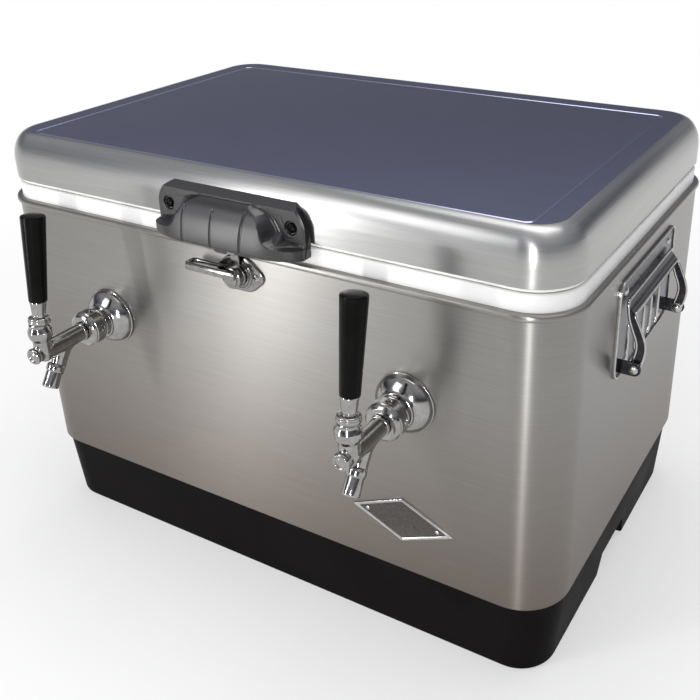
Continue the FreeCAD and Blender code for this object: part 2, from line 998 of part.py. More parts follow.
def bell(radius, neck, depth, origin, direction):
    # hollow flange, wide where it meets the wall
    sweep = radius - neck
    curve_depth = depth - bell_neck - bell_edge
    outer = []
    inner = []
    for step in range(bell_steps + 1):
        share = step / bell_steps
        reach = sweep * share ** 2
        rise = curve_depth * share
        outer.append((radius - reach, bell_edge + rise))
        inner.append((radius - bell_wall - reach, rise))
    bore = shank_radius + thread_clearance
    profile = [(radius, 0)] + outer + [(neck, depth), (bore, depth), (bore, curve_depth)] + inner[::-1]
    return turned(profile, origin, direction)


def wall_flange(x):
    return bell(flange_radius, flange_neck_radius, flange_depth, out(x, 0), outward)


def coupling_nut(x):
    thread = shank_radius + thread_clearance
    seat = shank_front_out() - nut_start()
    lip = nut_length - nut_lip
    profile = [
        (thread, 0),
        (nut_radius - nut_step_drop, 0),
        (nut_radius - nut_step_drop, nut_step),
        (nut_radius, nut_step),
        (nut_radius, nut_length - nut_bevel),
        (nut_front_radius, nut_length),
        (barrel_radius + barrel_clearance, nut_length),
        (barrel_radius + barrel_clearance, lip),
        (collar_radius + collar_clearance, lip),
        (collar_radius + collar_clearance, seat),
        (thread, seat),
    ]
    nut = turned(profile, out(x, nut_start()), outward)
    holes = []
    middle = out(x, nut_start() + spanner_hole_place)
    for index in range(spanner_hole_count):
        angle = math.pi / 2 + 2 * math.pi * index / spanner_hole_count
        radial = V(math.cos(angle), 0, math.sin(angle))
        floor = middle + radial * (nut_radius - spanner_hole_depth)
        holes.append(rod(spanner_hole_radius, floor, floor + radial * 2 * spanner_hole_depth))
    return nut.cut(holes)


def valve_point(x, rise=0.0):
    # a point on the upright axis that the tap's lever swings through
    return out(x, valve_out, tap_z + rise)


def spout_form(x, radius, extra):
    # bend and straight tail, solid to the given radius
    start = out(x, spout_start_out)
    pivot = start - upward * spout_bend_radius
    disc = Part.Face(Part.Wire(Part.makeCircle(radius, start, outward)))
    bend = disc.revolve(pivot, V(1, 0, 0), spout_bend)
    angle = math.radians(spout_bend)
    end = pivot + (outward * math.sin(angle) + upward * math.cos(angle)) * spout_bend_radius
    heading = outward * math.cos(angle) - upward * math.sin(angle)
    return [bend, rod(radius, end, end + heading * (spout_straight + extra))]


def swing_room(x):
    # space inside the housing for the lever's arm over its whole swing
    back = pivot_height * math.sin(math.radians(tap_swing - tap_lean))
    front = pivot_height * math.sin(math.radians(tap_lean))
    half = arm_ball_radius + arm_clearance
    axis_y = valve_point(x).y
    low = tap_z - swing_floor
    high = tap_z + housing_rise
    corners = (
        (axis_y - front - half - swing_spare, low),
        (axis_y + back + half + swing_spare, low),
        (axis_y + swing_mouth, high),
        (axis_y - swing_mouth, high),
    )
    return prism([V(x - half, y, z) for y, z in corners], V(2 * half, 0, 0))


def faucet_body(x):
    back = shank_front_out()
    boss_end = valve_out + front_boss_length
    neck_low = valve_point(x, housing_rise)
    neck_high = valve_point(x, housing_rise + housing_neck)
    pivot = valve_point(x, pivot_height)
    solid = fuse(
        rod(collar_radius, out(x, back), out(x, back + collar_length)),
        rod(barrel_radius, out(x, back), valve_point(x)),
        rod(front_boss_radius, valve_point(x), out(x, boss_end)),
        Part.makeSphere(housing_radius, valve_point(x)),
        rod(housing_radius, valve_point(x), neck_low),
        rod(housing_neck_radius, neck_low, neck_high),
        *spout_form(x, spout_radius, 0),
    )
    hollows = [
        rod(shaft_bore, out(x, back), out(x, boss_end)),
        rod(plug_thread_radius, out(x, boss_end - plug_thread), out(x, boss_end)),
        Part.makeSphere(ball_radius + ball_clearance, pivot),
        rod(ball_radius + ball_clearance, neck_low, pivot),
        swing_room(x),
    ]
    return solid.cut(hollows + spout_form(x, spout_bore, spout_straight))


def faucet_knob(x):
    # screwed plug in the front of the faucet
    start = valve_out + front_boss_length
    rim = start + knob_length - knob_crown
    thread = rod(plug_thread_radius, out(x, start - plug_thread), out(x, start))
    disc = rod(knob_radius, out(x, start), out(x, rim))
    return fuse(thread, disc, dome(knob_radius, knob_crown, out(x, rim), outward))


def bonnet(x):
    # cap nut over the ball, domed so that the lever's collar can ride round it
    pivot = valve_point(x, pivot_height)
    low = valve_point(x, housing_rise)
    skirt = rod(bonnet_radius, low, pivot)
    crown = rod(bonnet_radius, pivot, pivot + upward * bonnet_dome_radius)
    crown = crown.common(Part.makeSphere(bonnet_dome_radius, pivot))
    mouth = pivot + upward * swing_low
    neck_high = valve_point(x, housing_rise + housing_neck + thread_clearance)
    hollows = [
        rod(housing_neck_radius + thread_clearance, low, neck_high),
        Part.makeSphere(ball_radius + ball_clearance, pivot),
        rod(ball_radius + ball_clearance, low, pivot),
        Part.makeCone(swing_low_radius, swing_high_radius, bonnet_dome_radius - swing_low, mouth, upward),
    ]
    return fuse(skirt, crown).cut(hollows)


def lean(shape, x):
    # tips a tap's moving pieces back from upright about the ball's centre
    shape.rotate(valve_point(x, pivot_height), V(1, 0, 0), -tap_lean)
    return shape


def tap_lever(x):
    # ball in the bonnet, with an arm down to the valve and a stem up to the handle
    pivot = valve_point(x, pivot_height)
    foot = pivot - upward * pivot_height
    cap = rod(cap_radius, pivot + upward * cap_low, pivot + upward * cap_top)
    cap = cap.makeFillet(cap_round, level_edges(cap, pivot.z + cap_top))
    cap = cap.cut(Part.makeSphere(bonnet_dome_radius + cap_gap, pivot))
    ball = Part.makeSphere(ball_radius, pivot)
    arm = rod(arm_radius, foot, pivot)
    stem = rod(stem_radius, pivot, pivot + upward * stem_top)
    return lean(fuse(ball, arm, Part.makeSphere(arm_ball_radius, foot), stem, cap), x)


def ferrule(x):
    top = cap_top + ferrule_length
    profile = [
        (stem_radius, cap_top),
        (ferrule_low_radius, cap_top),
        (ferrule_low_radius, cap_top + ferrule_ring),
        (ferrule_high_radius, top),
        (0, top),
        (0, stem_top),
        (stem_radius, stem_top),
    ]
    return lean(turned(profile, valve_point(x, pivot_height), upward), x)


def tap_handle(x):
    foot = cap_top + ferrule_length
    top = foot + handle_length
    profile = [
        (0, foot),
        (handle_low_radius, foot),
        (handle_high_radius, top - handle_crown),
        (handle_high_radius - handle_crown / 2, top - handle_crown / 4),
        (0, top),
    ]
    return lean(turned(profile, valve_point(x, pivot_height), upward), x)


def valve_shaft(x):
    # slides in the barrel; the seal on its rear end shuts against the back of the faucet
    seal_front = shank_front_out() - seal_gap
    slot = valve_out + pivot_height * math.sin(math.radians(tap_lean))
    guide_back = slot - shaft_guide
    guide_front = valve_out + front_boss_length - plug_thread - shaft_end_gap
    guide = rod(shaft_bore - shaft_clearance, out(x, guide_back), out(x, guide_front))
    stalk = rod(shaft_rod_radius, out(x, seal_front), out(x, guide_back))
    seal = rod(seal_radius, out(x, seal_front - seal_thick), out(x, seal_front))
    middle = out(x, slot)
    hole = rod(arm_ball_radius + arm_slack, middle - upward * shaft_bore, middle + upward * shaft_bore)
    return fuse(guide, stalk, seal).cut(hole)


# inlets, cold plate and lines


def back(x, distance, z=tap_z):
    # a point this far out from the rear wall
    return V(x, back_y + distance, z)


def inlet_shank(x):
    length = inlet_flange_depth + inlet_shoulder + inlet_stub
    total = length + shank_inner_length
    profile = [
        (shank_bore, 0),
        (shank_radius, 0),
        (shank_radius, inlet_stub),
        (inlet_shoulder_radius, inlet_stub),
        (inlet_shoulder_radius, inlet_stub + inlet_shoulder),
        (shank_radius, inlet_stub + inlet_shoulder),
        (shank_radius, total),
        (barb_radius, total),
        (barb_radius, total + barb_length),
        (shank_bore, total + barb_length),
    ]
    return turned(profile, back(x, length), outward)


def inlet_flange(x):
    return bell(inlet_flange_radius, inlet_flange_neck, inlet_flange_depth, back(x, 0), inward)


def lock_nuts():
    seats = [(V(x, inner_front, tap_z), inward) for x in tap_places.values()]
    seats += [(V(x, inner_back, tap_z), outward) for x in inlet_places.values()]
    bore = shank_radius + thread_clearance
    return [hexagon(lock_nut_flats, lock_nut_length, seat, direction, bore) for seat, direction in seats]


def plate_top():
    return cavity_floor + cold_plate_height


def fitting_places():
    places = [V(x, line_outlet_y, plate_top()) for x in tap_places.values()]
    return places + [V(x, line_inlet_y, plate_top()) for x in inlet_places.values()]


def cold_plate():
    corner = V(-cold_plate_width / 2, -cold_plate_depth / 2, cavity_floor)
    slab = Part.makeBox(cold_plate_width, cold_plate_depth, cold_plate_height, corner)
    slab = slab.makeFillet(cold_plate_round, slab.Edges)
    holes = [rod(shank_bore, place - V(0, 0, cold_plate_height / 2), place) for place in fitting_places()]
    return slab.cut(holes)


def plate_fitting(place):
    up = V(0, 0, 1)
    foot = hexagon(fitting_flats, fitting_hex, place, up)
    barb = rod(barb_radius, place + up * fitting_hex, place + up * (fitting_hex + fitting_barb))
    bore = rod(shank_bore, place, place + up * (fitting_hex + fitting_barb))
    return fuse(foot, barb).cut(bore)


def line_start(end):
    # where a line pushes onto a shank's barb
    if end == "front":
        return front_y + shank_inner_length
    return back_y - shank_inner_length


def beer_line(x, end):
    # level off the shank's barb, one quarter bend, then straight down onto the cold plate's barb
    start_y = line_start(end)
    down_y = line_outlet_y if end == "front" else line_inlet_y
    direction = 1 if end == "front" else -1
    start = V(x, start_y, tap_z)
    bend_start = V(x, down_y - direction * line_bend, tap_z)
    pivot = bend_start - V(0, 0, line_bend)
    foot = V(x, down_y, plate_top() + fitting_hex)
    solids = []
    for radius in (line_radius, barb_radius):
        level = rod(radius, start, bend_start)
        disc = Part.Face(Part.Wire(Part.makeCircle(radius, bend_start, V(0, direction, 0))))
        bend = disc.revolve(pivot, V(1, 0, 0), -90 * direction)
        drop = rod(radius, V(x, down_y, tap_z - line_bend), foot)
        solids.append(fuse(level, bend, drop))
    return solids[0].cut(solids[1])


def hose_clamp(place, direction):
    # band round the line with a worm screw on top
    start = place + direction * clamp_back
    end = start + direction * clamp_width
    band = rod(line_radius + clamp_thick, start, end)
    along = V(1, 0, 0) * clamp_screw_length / 2
    across = V(1, 0, 0).cross(direction)
    centre = start + direction * (clamp_width / 2) + across * (line_radius + clamp_thick + clamp_screw_rise)
    screw = rod(clamp_screw_radius, centre - along, centre + along)
    return fuse(band, screw).cut(rod(line_radius, start - direction, end + direction))


def hose_clamps():
    clamps = []
    up = V(0, 0, 1)
    for x in tap_places.values():
        clamps.append(hose_clamp(V(x, line_start("front"), tap_z), inward))
    for x in inlet_places.values():
        clamps.append(hose_clamp(V(x, line_start("back"), tap_z), outward))
    for place in fitting_places():
        clamps.append(hose_clamp(place + up * fitting_hex, up))
    return clamps


# drain, on the left short side


def drain_spout():
    inner_x = wall_thickness - side_x
    end_x = drain_face() - drain_reach
    tube = rod(drain_radius, V(end_x, 0, drain_z), V(inner_x + drain_flange, 0, drain_z))
    flange = rod(drain_flange_radius, V(inner_x, 0, drain_z), V(inner_x + drain_flange, 0, drain_z))
    bore_end = inner_x + drain_flange + overrun
    bore = rod(drain_bore, V(end_x - overrun, 0, drain_z), V(bore_end, 0, drain_z))
    return fuse(tube, flange).cut(bore)


def drain_nut():
    return hexagon(drain_nut_flats, drain_nut_length, V(drain_face(), 0, drain_z), V(-1, 0, 0), drain_radius)


def drain_cap():
    start = drain_face() - drain_nut_length - drain_cap_gap
    end = start - drain_cap_length
    cap = rod(drain_cap_radius, V(start, 0, drain_z), V(end, 0, drain_z))
    cap = cap.makeFillet(drain_cap_round, level_edges(cap, end, "X"))
    thread_end = drain_face() - drain_reach - drain_cap_gap
    cuts = [rod(drain_radius + drain_cap_clearance, V(start, 0, drain_z), V(thread_end, 0, drain_z))]
    for index in range(drain_cap_grips):
        angle = 2 * math.pi * index / drain_cap_grips
        reach = drain_cap_radius + drain_cap_grip_out
        y = reach * math.cos(angle)
        z = drain_z + reach * math.sin(angle)
        cuts.append(rod(drain_cap_grip, V(start, y, z), V(end, y, z)))
    return cap.cut(cuts)


# hinges, at the top of the rear wall


def hinge_knuckles(spans):
    y = hinge_axis_y()
    z = hinge_axis_z()
    return [rod(hinge_knuckle, V(a, y, z), V(b, y, z)) for a, b in spans]


def hinge_bore(x, radius):
    half = hinge_width / 2
    y = hinge_axis_y()
    z = hinge_axis_z()
    return rod(radius, V(x - half, y, z), V(x + half, y, z))


def hinge_body_leaf(x):
    # joggled leaf: flat on the belt, then out past the bead and up to the middle knuckle
    low = hinge_axis_z() - hinge_body_length
    bead_low = belt_high - bead_height
    past = back_y + bead_flare + hinge_bead_gap
    step = hinge_joggle
    profile = [
        (back_y, low),
        (back_y, bead_low - step),
        (past, bead_low),
        (past, belt_high),
        (past + hinge_leaf, belt_high),
        (past + hinge_leaf, bead_low),
        (back_y + hinge_leaf, bead_low - step),
        (back_y + hinge_leaf, low),
    ]
    half = hinge_width / 2
    leaf = prism([V(x - half, y, z) for y, z in profile], V(hinge_width, 0, 0))
    middle = hinge_mid / 2
    bridge = box((x - middle, past, belt_high), (x + middle, past + hinge_leaf, hinge_axis_z()))
    solid = fuse(leaf, bridge, *hinge_knuckles([(x - middle, x + middle)]))
    return solid.cut([hinge_bore(x, hinge_pin)] + hinge_screws(hinge_body_screw_places()))


def hinge_lid_leaf(x):
    # leaf on the lid's skirt, with an arm down to the knuckle at each end of the pin
    axis_y = hinge_axis_y()
    axis_z = hinge_axis_z()
    face = back_y - lid_inset
    low = lid_low + hinge_leaf_rise
    half = hinge_width / 2
    inner = hinge_mid / 2 + hinge_gap
    spans = [(x - half, x - inner), (x + inner, x + half)]
    pieces = [box((x - half, face, low), (x + half, face + hinge_leaf, lid_low + hinge_lid_length))]
    profile = [
        (face, low),
        (face, low + hinge_leaf),
        (face + hinge_leaf, low + hinge_leaf),
        (axis_y + hinge_leaf / 2, axis_z + hinge_leaf / 2),
        (axis_y - hinge_leaf / 2, axis_z - hinge_leaf / 2),
        (axis_y - hinge_knuckle, axis_z + hinge_leaf / 2),
    ]
    for start, end in spans:
        pieces.append(prism([V(start, y, z) for y, z in profile], V(end - start, 0, 0)))
    solid = fuse(*pieces, *hinge_knuckles(spans))
    bore = hinge_bore(x, hinge_pin + hinge_pin_clearance)
    return solid.cut([bore] + hinge_screws(hinge_lid_screw_places()))


def hinge_pin_solid(x):
    half = hinge_width / 2 + hinge_gap
    left = V(x - half, hinge_axis_y(), hinge_axis_z())
    right = V(x + half, hinge_axis_y(), hinge_axis_z())
    heads = [dome(hinge_pin_head_radius, hinge_pin_head, left, V(-1, 0, 0))]
    heads.append(dome(hinge_pin_head_radius, hinge_pin_head, right, V(1, 0, 0)))
    return fuse(rod(hinge_pin, left, right), *heads)


save("base_tray", base_tray())
save("steel_belt", steel_belt())
save("inner_liner", inner_liner())
save("body_foam", body_foam())
save("badge_plate", badge_plate())
save("badge_rivets", *badge_rivets())
save("latch_escutcheon", latch_escutcheon())
save("latch_screws", *latch_screws())
save("latch_lever", latch_lever())
save("lid_skin", lid_skin())
save("lid_liner", lid_liner())
save("lid_foam", lid_foam())
save("lid_grip", lid_grip())
save("lid_grip_screws", *grip_screws())
save("strike_tab", strike_tab())
for name, side in (("left", -1), ("right", 1)):
    save("handle_plate_" + name, handle_plate(side))
    save("handle_bail_" + name, bail(side))
save("handle_rivets", *plate_rivets())
save("handle_pins", *handle_pins())
for name, x in tap_places.items():
    save("tap_shank_" + name, tap_shank(x))
    save("wall_flange_" + name, wall_flange(x))
    save("coupling_nut_" + name, coupling_nut(x))
    save("faucet_body_" + name, faucet_body(x))
    save("faucet_bonnet_" + name, bonnet(x))
    save("tap_lever_" + name, tap_lever(x))
    save("handle_ferrule_" + name, ferrule(x))
    save("tap_handle_" + name, tap_handle(x))
    save("valve_shaft_" + name, valve_shaft(x))
    save("outlet_line_" + name, beer_line(x, "front"))
save("faucet_knobs", *[faucet_knob(x) for x in tap_places.values()])
for name, x in inlet_places.items():
    save("inlet_shank_" + name, inlet_shank(x))
    save("inlet_line_" + name, beer_line(x, "back"))
save("inlet_flanges", *[inlet_flange(x) for x in inlet_places.values()])
save("lock_nuts", *lock_nuts())
save("cold_plate", cold_plate())
save("plate_fittings", *[plate_fitting(place) for place in fitting_places()])
save("hose_clamps", *hose_clamps())
save("drain_spout", drain_spout())
save("drain_nut", drain_nut())
save("drain_cap", drain_cap())
save("hinge_body_leaves", *[hinge_body_leaf(x) for x in hinge_places()])
save("hinge_lid_leaves", *[hinge_lid_leaf(x) for x in hinge_places()])
save("hinge_pins", *[hinge_pin_solid(x) for x in hinge_places()])
save("hinge_body_screws", *hinge_screws(hinge_body_screw_places()))
save("hinge_lid_screws", *hinge_screws(hinge_lid_screw_places()))
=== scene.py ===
from functools import partial
import math
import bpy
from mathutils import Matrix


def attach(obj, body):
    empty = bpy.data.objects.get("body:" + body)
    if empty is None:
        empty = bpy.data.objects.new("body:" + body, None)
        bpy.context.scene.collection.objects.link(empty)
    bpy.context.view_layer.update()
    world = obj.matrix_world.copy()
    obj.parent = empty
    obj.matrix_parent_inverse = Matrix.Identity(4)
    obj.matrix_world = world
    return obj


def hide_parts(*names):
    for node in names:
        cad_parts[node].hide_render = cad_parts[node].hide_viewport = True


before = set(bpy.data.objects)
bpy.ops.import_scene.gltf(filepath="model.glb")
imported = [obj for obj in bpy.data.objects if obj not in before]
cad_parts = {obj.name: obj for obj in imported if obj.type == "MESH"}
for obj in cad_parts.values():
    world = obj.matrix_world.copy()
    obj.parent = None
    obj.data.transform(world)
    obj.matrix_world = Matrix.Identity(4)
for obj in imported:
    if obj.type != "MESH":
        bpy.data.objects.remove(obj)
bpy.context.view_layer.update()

from types import SimpleNamespace

import bmesh
import bpy
from mathutils import Matrix, Vector

# A two-tap jockey box: a steel-belted ice chest with draught faucets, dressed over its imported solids.
# Sizes in the tables below are millimetres and degrees; the frame is the chest's own, +Z up, taps to -Y.

chest = SimpleNamespace(
    width=600.0,
    depth=392.0,
    corner=45.0,
    beltLow=79.0,
    beltHigh=359.0,
    lidLow=378.0,
    lidHigh=422.0,
    cornerSteps=14,
    sideSteps=12,
)
front = -chest.depth / 2
side = chest.width / 2


# shapes

def at(x, y, z):
    return Vector((x, y, z))


outward = at(0, -1, 0)  # the way the taps face
upward = at(0, 0, 1)


def smoothStep(low, high, value):
    part = min(max((value - low) / (high - low), 0.0), 1.0)
    return part * part * (3 - 2 * part)


def mix(a, b, part):
    return a + (b - a) * part


def roundCorners(points, closed=True, steps=5):
    # points are (a, b) or (a, b, corner radius); each corner with a radius becomes an arc
    result = []
    count = len(points)
    for index, point in enumerate(points):
        radius = point[2] if len(point) > 2 else 0.0
        here = Vector(point[:2])
        inside = closed or 0 < index < count - 1
        if not inside or radius <= 0:
            result.append(here)
            continue
        before = Vector(points[index - 1][:2]) - here
        after = Vector(points[(index + 1) % count][:2]) - here
        half = before.angle(after) / 2
        reach = min(radius / math.tan(half), 0.49 * before.length, 0.49 * after.length)
        start = here + before.normalized() * reach
        end = here + after.normalized() * reach
        radius = reach * math.tan(half)
        centre = here + (before.normalized() + after.normalized()).normalized() * radius / math.sin(half)
        sweep = math.pi - 2 * half
        turn = 1 if (start - centre).cross(end - centre) > 0 else -1
        for step in range(steps + 1):
            angle = turn * sweep * step / steps
            result.append(centre + Matrix.Rotation(angle, 2) @ (start - centre))
    return result


def planRing(inset, z, corner=None, ends=0.0, rear=0.0):
    # rounded rectangle of the chest's plan, counter-clockwise from the right end of the front;
    # ends and rear draw it in further at the two sides and at the back
    radius = chest.corner - inset if corner is None else corner
    halfX = side - inset - ends - radius
    halfY = -front - inset - rear / 2 - radius
    arcs = []
    for index, (sx, sy) in enumerate(((1, -1), (1, 1), (-1, 1), (-1, -1))):
        arc = []
        for step in range(chest.cornerSteps + 1):
            angle = math.radians(index * 90 - 90) + math.radians(90) * step / chest.cornerSteps
            x = sx * halfX + radius * math.cos(angle)
            y = sy * halfY - rear / 2 + radius * math.sin(angle)
            arc.append(at(x, y, z))
        arcs.append(arc)
    ring = []
    for arc, following in zip(arcs, arcs[1:] + arcs[:1]):
        straight = [arc[-1].lerp(following[0], step / chest.sideSteps) for step in range(1, chest.sideSteps)]
        ring += arc + straight
    return ring


def loft(form, rings, around=True, looped=False, capped=False, finish=0):
    # skins neighbouring rings of points
    rows = [[form.verts.new(point) for point in ring] for ring in rings]
    count = len(rows[0])
    pairs = list(zip(rows, rows[1:]))
    if looped:
        pairs.append((rows[-1], rows[0]))
    for near, far in pairs:
        for i in range(count if around else count - 1):
            j = (i + 1) % count
            form.faces.new((near[i], near[j], far[j], far[i])).material_index = finish
    if capped:
        for row in (rows[0], rows[-1]):
            form.faces.new(row).material_index = finish
    return rows


def spin(profile, origin, axis, form=None, steps=72, looped=False, shape=None):
    # turns (radius, height, corner radius) points, into a new form or the one given;
    # shape may move a point by angle and height
    axis = axis.normalized()
    across = axis.orthogonal().normalized() if abs(axis.z) < 0.9 else at(1, 0, 0)
    across = (across - axis * across.dot(axis)).normalized()
    beside = axis.cross(across)
    rings = []
    for radius, height in roundCorners(profile, looped, steps=4):
        ring = []
        for step in range(steps):
            angle = 2 * math.pi * step / steps
            here = shape(radius, height, angle) if shape else radius
            ring.append(origin + axis * height + (across * math.cos(angle) + beside * math.sin(angle)) * here)
        rings.append(ring)
    form = bmesh.new() if form is None else form
    loft(form, rings, looped=looped)
    return form


def extrude(form, outline, place, depth, finish=0):
    # flat outline of 2-D points set by place(a, b, height) and raised by depth
    rings = [[place(a, b, height) for a, b in outline] for height in (0.0, depth)]
    loft(form, rings, capped=True, finish=finish)


def sweep(form, path, radii, steps):
    # round tube of changing radius along a list of points
    rings = []
    for index, point in enumerate(path):
        ahead = path[min(index + 1, len(path) - 1)] - path[max(index - 1, 0)]
        heading = ahead.normalized()
        across = heading.orthogonal() if abs(heading.x) > 0.9 else at(1, 0, 0)
        across = (across - heading * across.dot(heading)).normalized()
        beside = heading.cross(across)
        radius = radii[index]
        wide, high = radius if isinstance(radius, tuple) else (radius, radius)
        ring = []
        for step in range(steps):
            angle = 2 * math.pi * step / steps
            ring.append(point + across * wide * math.cos(angle) + beside * high * math.sin(angle))
        rings.append(ring)
    loft(form, rings, capped=True)


def curvePath(points, steps):
    # smooth line through the points
    path = []
    for index in range(len(points) - 1):
        p0 = points[max(index - 1, 0)]
        p1 = points[index]
        p2 = points[index + 1]
        p3 = points[min(index + 2, len(points) - 1)]
        for step in range(steps):
            t = step / steps
            bend = 2 * p1 + (p2 - p0) * t + (2 * p0 - 5 * p1 + 4 * p2 - p3) * t * t
            path.append(0.5 * (bend + (3 * p1 - p0 - 3 * p2 + p3) * t * t * t))
    path.append(points[-1])
    return path


def inScene(name, data):
    thing = bpy.data.objects.new(name, data)
    bpy.context.scene.collection.objects.link(thing)
    return thing


def setDown(form, name):
    # from millimetres to metres, as an object in the scene
    bmesh.ops.scale(form, vec=(0.001, 0.001, 0.001), verts=form.verts)
    mesh = bpy.data.meshes.new(name)
    form.to_mesh(mesh)
    form.free()
    mesh.polygons.foreach_set("use_smooth", [True] * len(mesh.polygons))
    return inScene(name, mesh)


def makePiece(name, form, finishes, body, replaced=(), sharp=35, bevel=0.0, segments=3):
    bmesh.ops.remove_doubles(form, verts=form.verts, dist=0.0005)
    bmesh.ops.recalc_face_normals(form, faces=form.faces)
    piece = setDown(form, name)
    piece.data.set_sharp_from_angle(angle=math.radians(sharp))
    for finish in finishes:
        piece.data.materials.append(finish)
    if bevel:
        rounding = piece.modifiers.new("roundedEdges", "BEVEL")
        rounding.width = bevel / 1000
        rounding.segments = segments
        rounding.limit_method = "ANGLE"
        rounding.angle_limit = math.radians(40)
        piece.modifiers.new("evenShading", "WEIGHTED_NORMAL")
    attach(piece, body)
    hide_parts(*replaced)


# finishes

def linear(code):
    # sRGB hex to linear colour
    values = [int(code[i:i + 2], 16) / 255 for i in (1, 3, 5)]
    return [v / 12.92 if v <= 0.04045 else ((v + 0.055) / 1.055) ** 2.4 for v in values] + [1.0]


def addNode(tree, kind, settings=()):
    # settings are other nodes' outputs, socket values, the node's own options, or a colour ramp's stops
    # as (position, hex) pairs; gives back the node's outputs
    node = tree.nodes.new("ShaderNode" + kind)
    for key, value in dict(settings).items():
        if isinstance(value, bpy.types.NodeSocket):
            tree.links.new(value, node.inputs[key])
        elif key == "stops":
            elements = node.color_ramp.elements
            while len(elements) < len(value):
                elements.new(0.5)
            for element, (position, code) in zip(elements, value):
                element.position = position
                element.color = linear(code)
        elif isinstance(key, int) or key in node.inputs:
            node.inputs[key].default_value = value
        else:
            setattr(node, key, value)
    return node.outputs


def newFinish(name):
    # an empty material, what adds a node to it, and the place of a point on the object
    finish = bpy.data.materials.new(name)
    finish.use_nodes = True
    finish.node_tree.nodes.clear()
    add = partial(addNode, finish.node_tree)
    return finish, add, add("TexCoord")["Object"]


def glossOver(add, noise, roughness):
    # roughness over the middle of a noise, where nearly all of it lies
    low, high = roughness
    settings = {"From Min": 0.3, "From Max": 0.7, "To Min": low, "To Max": high, "Value": noise}
    return add("MapRange", settings)[0]


def brushedSteel(name, dark, light, roughness, anisotropy, grainBump, waveLength, waveWidth, waveBump,
                 along="xy", tangent="Z", grainWidth=0.5, grainLength=90.0, paintedLowReflection=None):
    # rolled stainless sheet, belt-brushed: fine lines along one way, so lights smear across them
    finish, add, place = newFinish(name)
    long = 1000 / grainLength
    fine = 1000 / grainWidth
    scale = [long, long if along == "xy" else fine, fine]
    streaks = add("Mapping", {"Scale": scale, "Vector": place})[0]
    grain = add("TexNoise", {"Scale": 1.0, "Detail": 3.0, "Roughness": 0.65, "Vector": streaks})["Fac"]
    wide = 1000 / waveLength
    waves = add("Mapping", {"Scale": [wide, wide, 1000 / waveWidth], "Vector": place})[0]
    cloud = add("TexNoise", {"Scale": 1.0, "Detail": 2.0, "Vector": waves})["Fac"]
    colour = add("ValToRGB", {"stops": ((0.3, dark), (0.7, light)), "Fac": grain})["Color"]
    if paintedLowReflection:
        # painted reflection: the sheet's foot is a shade darker and warmer than its head, as if mirroring a dark, warm
        # surface below
        height = add("SeparateXYZ", {0: place})[2]
        settings = {"From Min": chest.beltLow / 1000, "From Max": chest.beltHigh / 1000, "Value": height}
        share = add("MapRange", settings)[0]
        lowReflectionShade = add("ValToRGB", {"stops": ((0.0, paintedLowReflection), (0.75, "#FFFFFF")), "Fac": share})["Color"]
        colour = add("MixRGB", {"blend_type": "MULTIPLY", "Fac": 1.0, "Color1": colour, "Color2": lowReflectionShade})[0]
    gloss = glossOver(add, grain, roughness)
    bump = add("Bump", {"Strength": grainBump, "Distance": 0.0001, "Height": grain})[0]
    wave = add("Bump", {"Strength": waveBump, "Distance": 0.004, "Height": cloud, "Normal": bump})[0]
    tangent = add("Tangent", {"direction_type": "RADIAL", "axis": tangent})[0]
    # a quarter turn lays the smear of a light across the lines
    settings = {"Metallic": 1.0, "Anisotropic": anisotropy, "Anisotropic Rotation": 0.25, "Tangent": tangent}
    settings.update({"Base Color": colour, "Roughness": gloss, "Normal": wave})
    add("OutputMaterial", {"Surface": add("BsdfPrincipled", settings)[0]})
    return finish


def mottledFinish(name, tone, relief, spread, shine, dark, light, roughness, bump, bumpDepth=0.1):
    # tone is the noise of the colour and the gloss, relief that of the bump
    finish, add, place = newFinish(name)
    toned = add("TexNoise", {**tone, "Vector": place})["Fac"]
    raised = toned if relief == tone else add("TexNoise", {**relief, "Vector": place})["Fac"]
    colour = add("ValToRGB", {"stops": ((0.5 - spread, dark), (0.5 + spread, light)), "Fac": toned})["Color"]
    gloss = glossOver(add, toned, roughness)
    wave = add("Bump", {"Strength": bump, "Distance": bumpDepth / 1000, "Height": raised})[0]
    settings = {**shine, "Base Color": colour, "Roughness": gloss, "Normal": wave}
    add("OutputMaterial", {"Surface": add("BsdfPrincipled", settings)[0]})
    return finish


def polishedMetal(name, hazeSize, **look):
    # faint polishing haze and small waviness break up the mirror
    haze = {"Scale": 1000 / hazeSize, "Detail": 4.0, "Roughness": 0.6}
    return mottledFinish(name, haze, haze, 0.2, {"Metallic": 1.0}, **look)


def mouldedPlastic(name, grainSize, bloomSize, ior, mirror=0.5, **look):
    # the mould's eroded texture, and a slight bloom in colour and gloss
    bloom = {"Scale": 1000 / bloomSize, "Detail": 4.0}
    grain = {"Scale": 1000 / grainSize, "Detail": 3.0}
    return mottledFinish(name, bloom, grain, 0.15, {"IOR": ior, "Specular IOR Level": mirror}, **look)


# satin grey that gathers light in upright bands; real lines are about 0.1 mm, drawn as coarse as they show
beltSteel = brushedSteel(
    "brushedStainlessBelt", grainBump=0.05, waveLength=160.0, waveWidth=160.0, waveBump=0.04, roughness=(0.33, 0.37),
    # its foot darker and warmer: a painted reflection of a dark, warm surface below
    anisotropy=0.88, dark="#8E8C89", light="#9A9895", paintedLowReflection="#D0C6BF",
)
# a brighter satin, drawn over the roll, with the long ripples of a pressed edge
lidSteel = brushedSteel(
    "brushedStainlessLidRoll", grainBump=0.06, waveLength=240.0, waveWidth=12.0, waveBump=0.12,
    roughness=(0.28, 0.34), anisotropy=0.8, dark="#A5A5A4", light="#B2B2B1",
)
# smoother, so the lid's top mirrors the room as slate; its cool blue-grey colour is a painted slate reflection as well
topSteel = brushedSteel(
    "brushedStainlessLidTop", along="x", tangent="X", grainBump=0.06, waveLength=180.0, waveWidth=180.0,
    waveBump=0.04, roughness=(0.18, 0.24), anisotropy=0.5, dark="#9496B0", light="#A0A2BB",
)
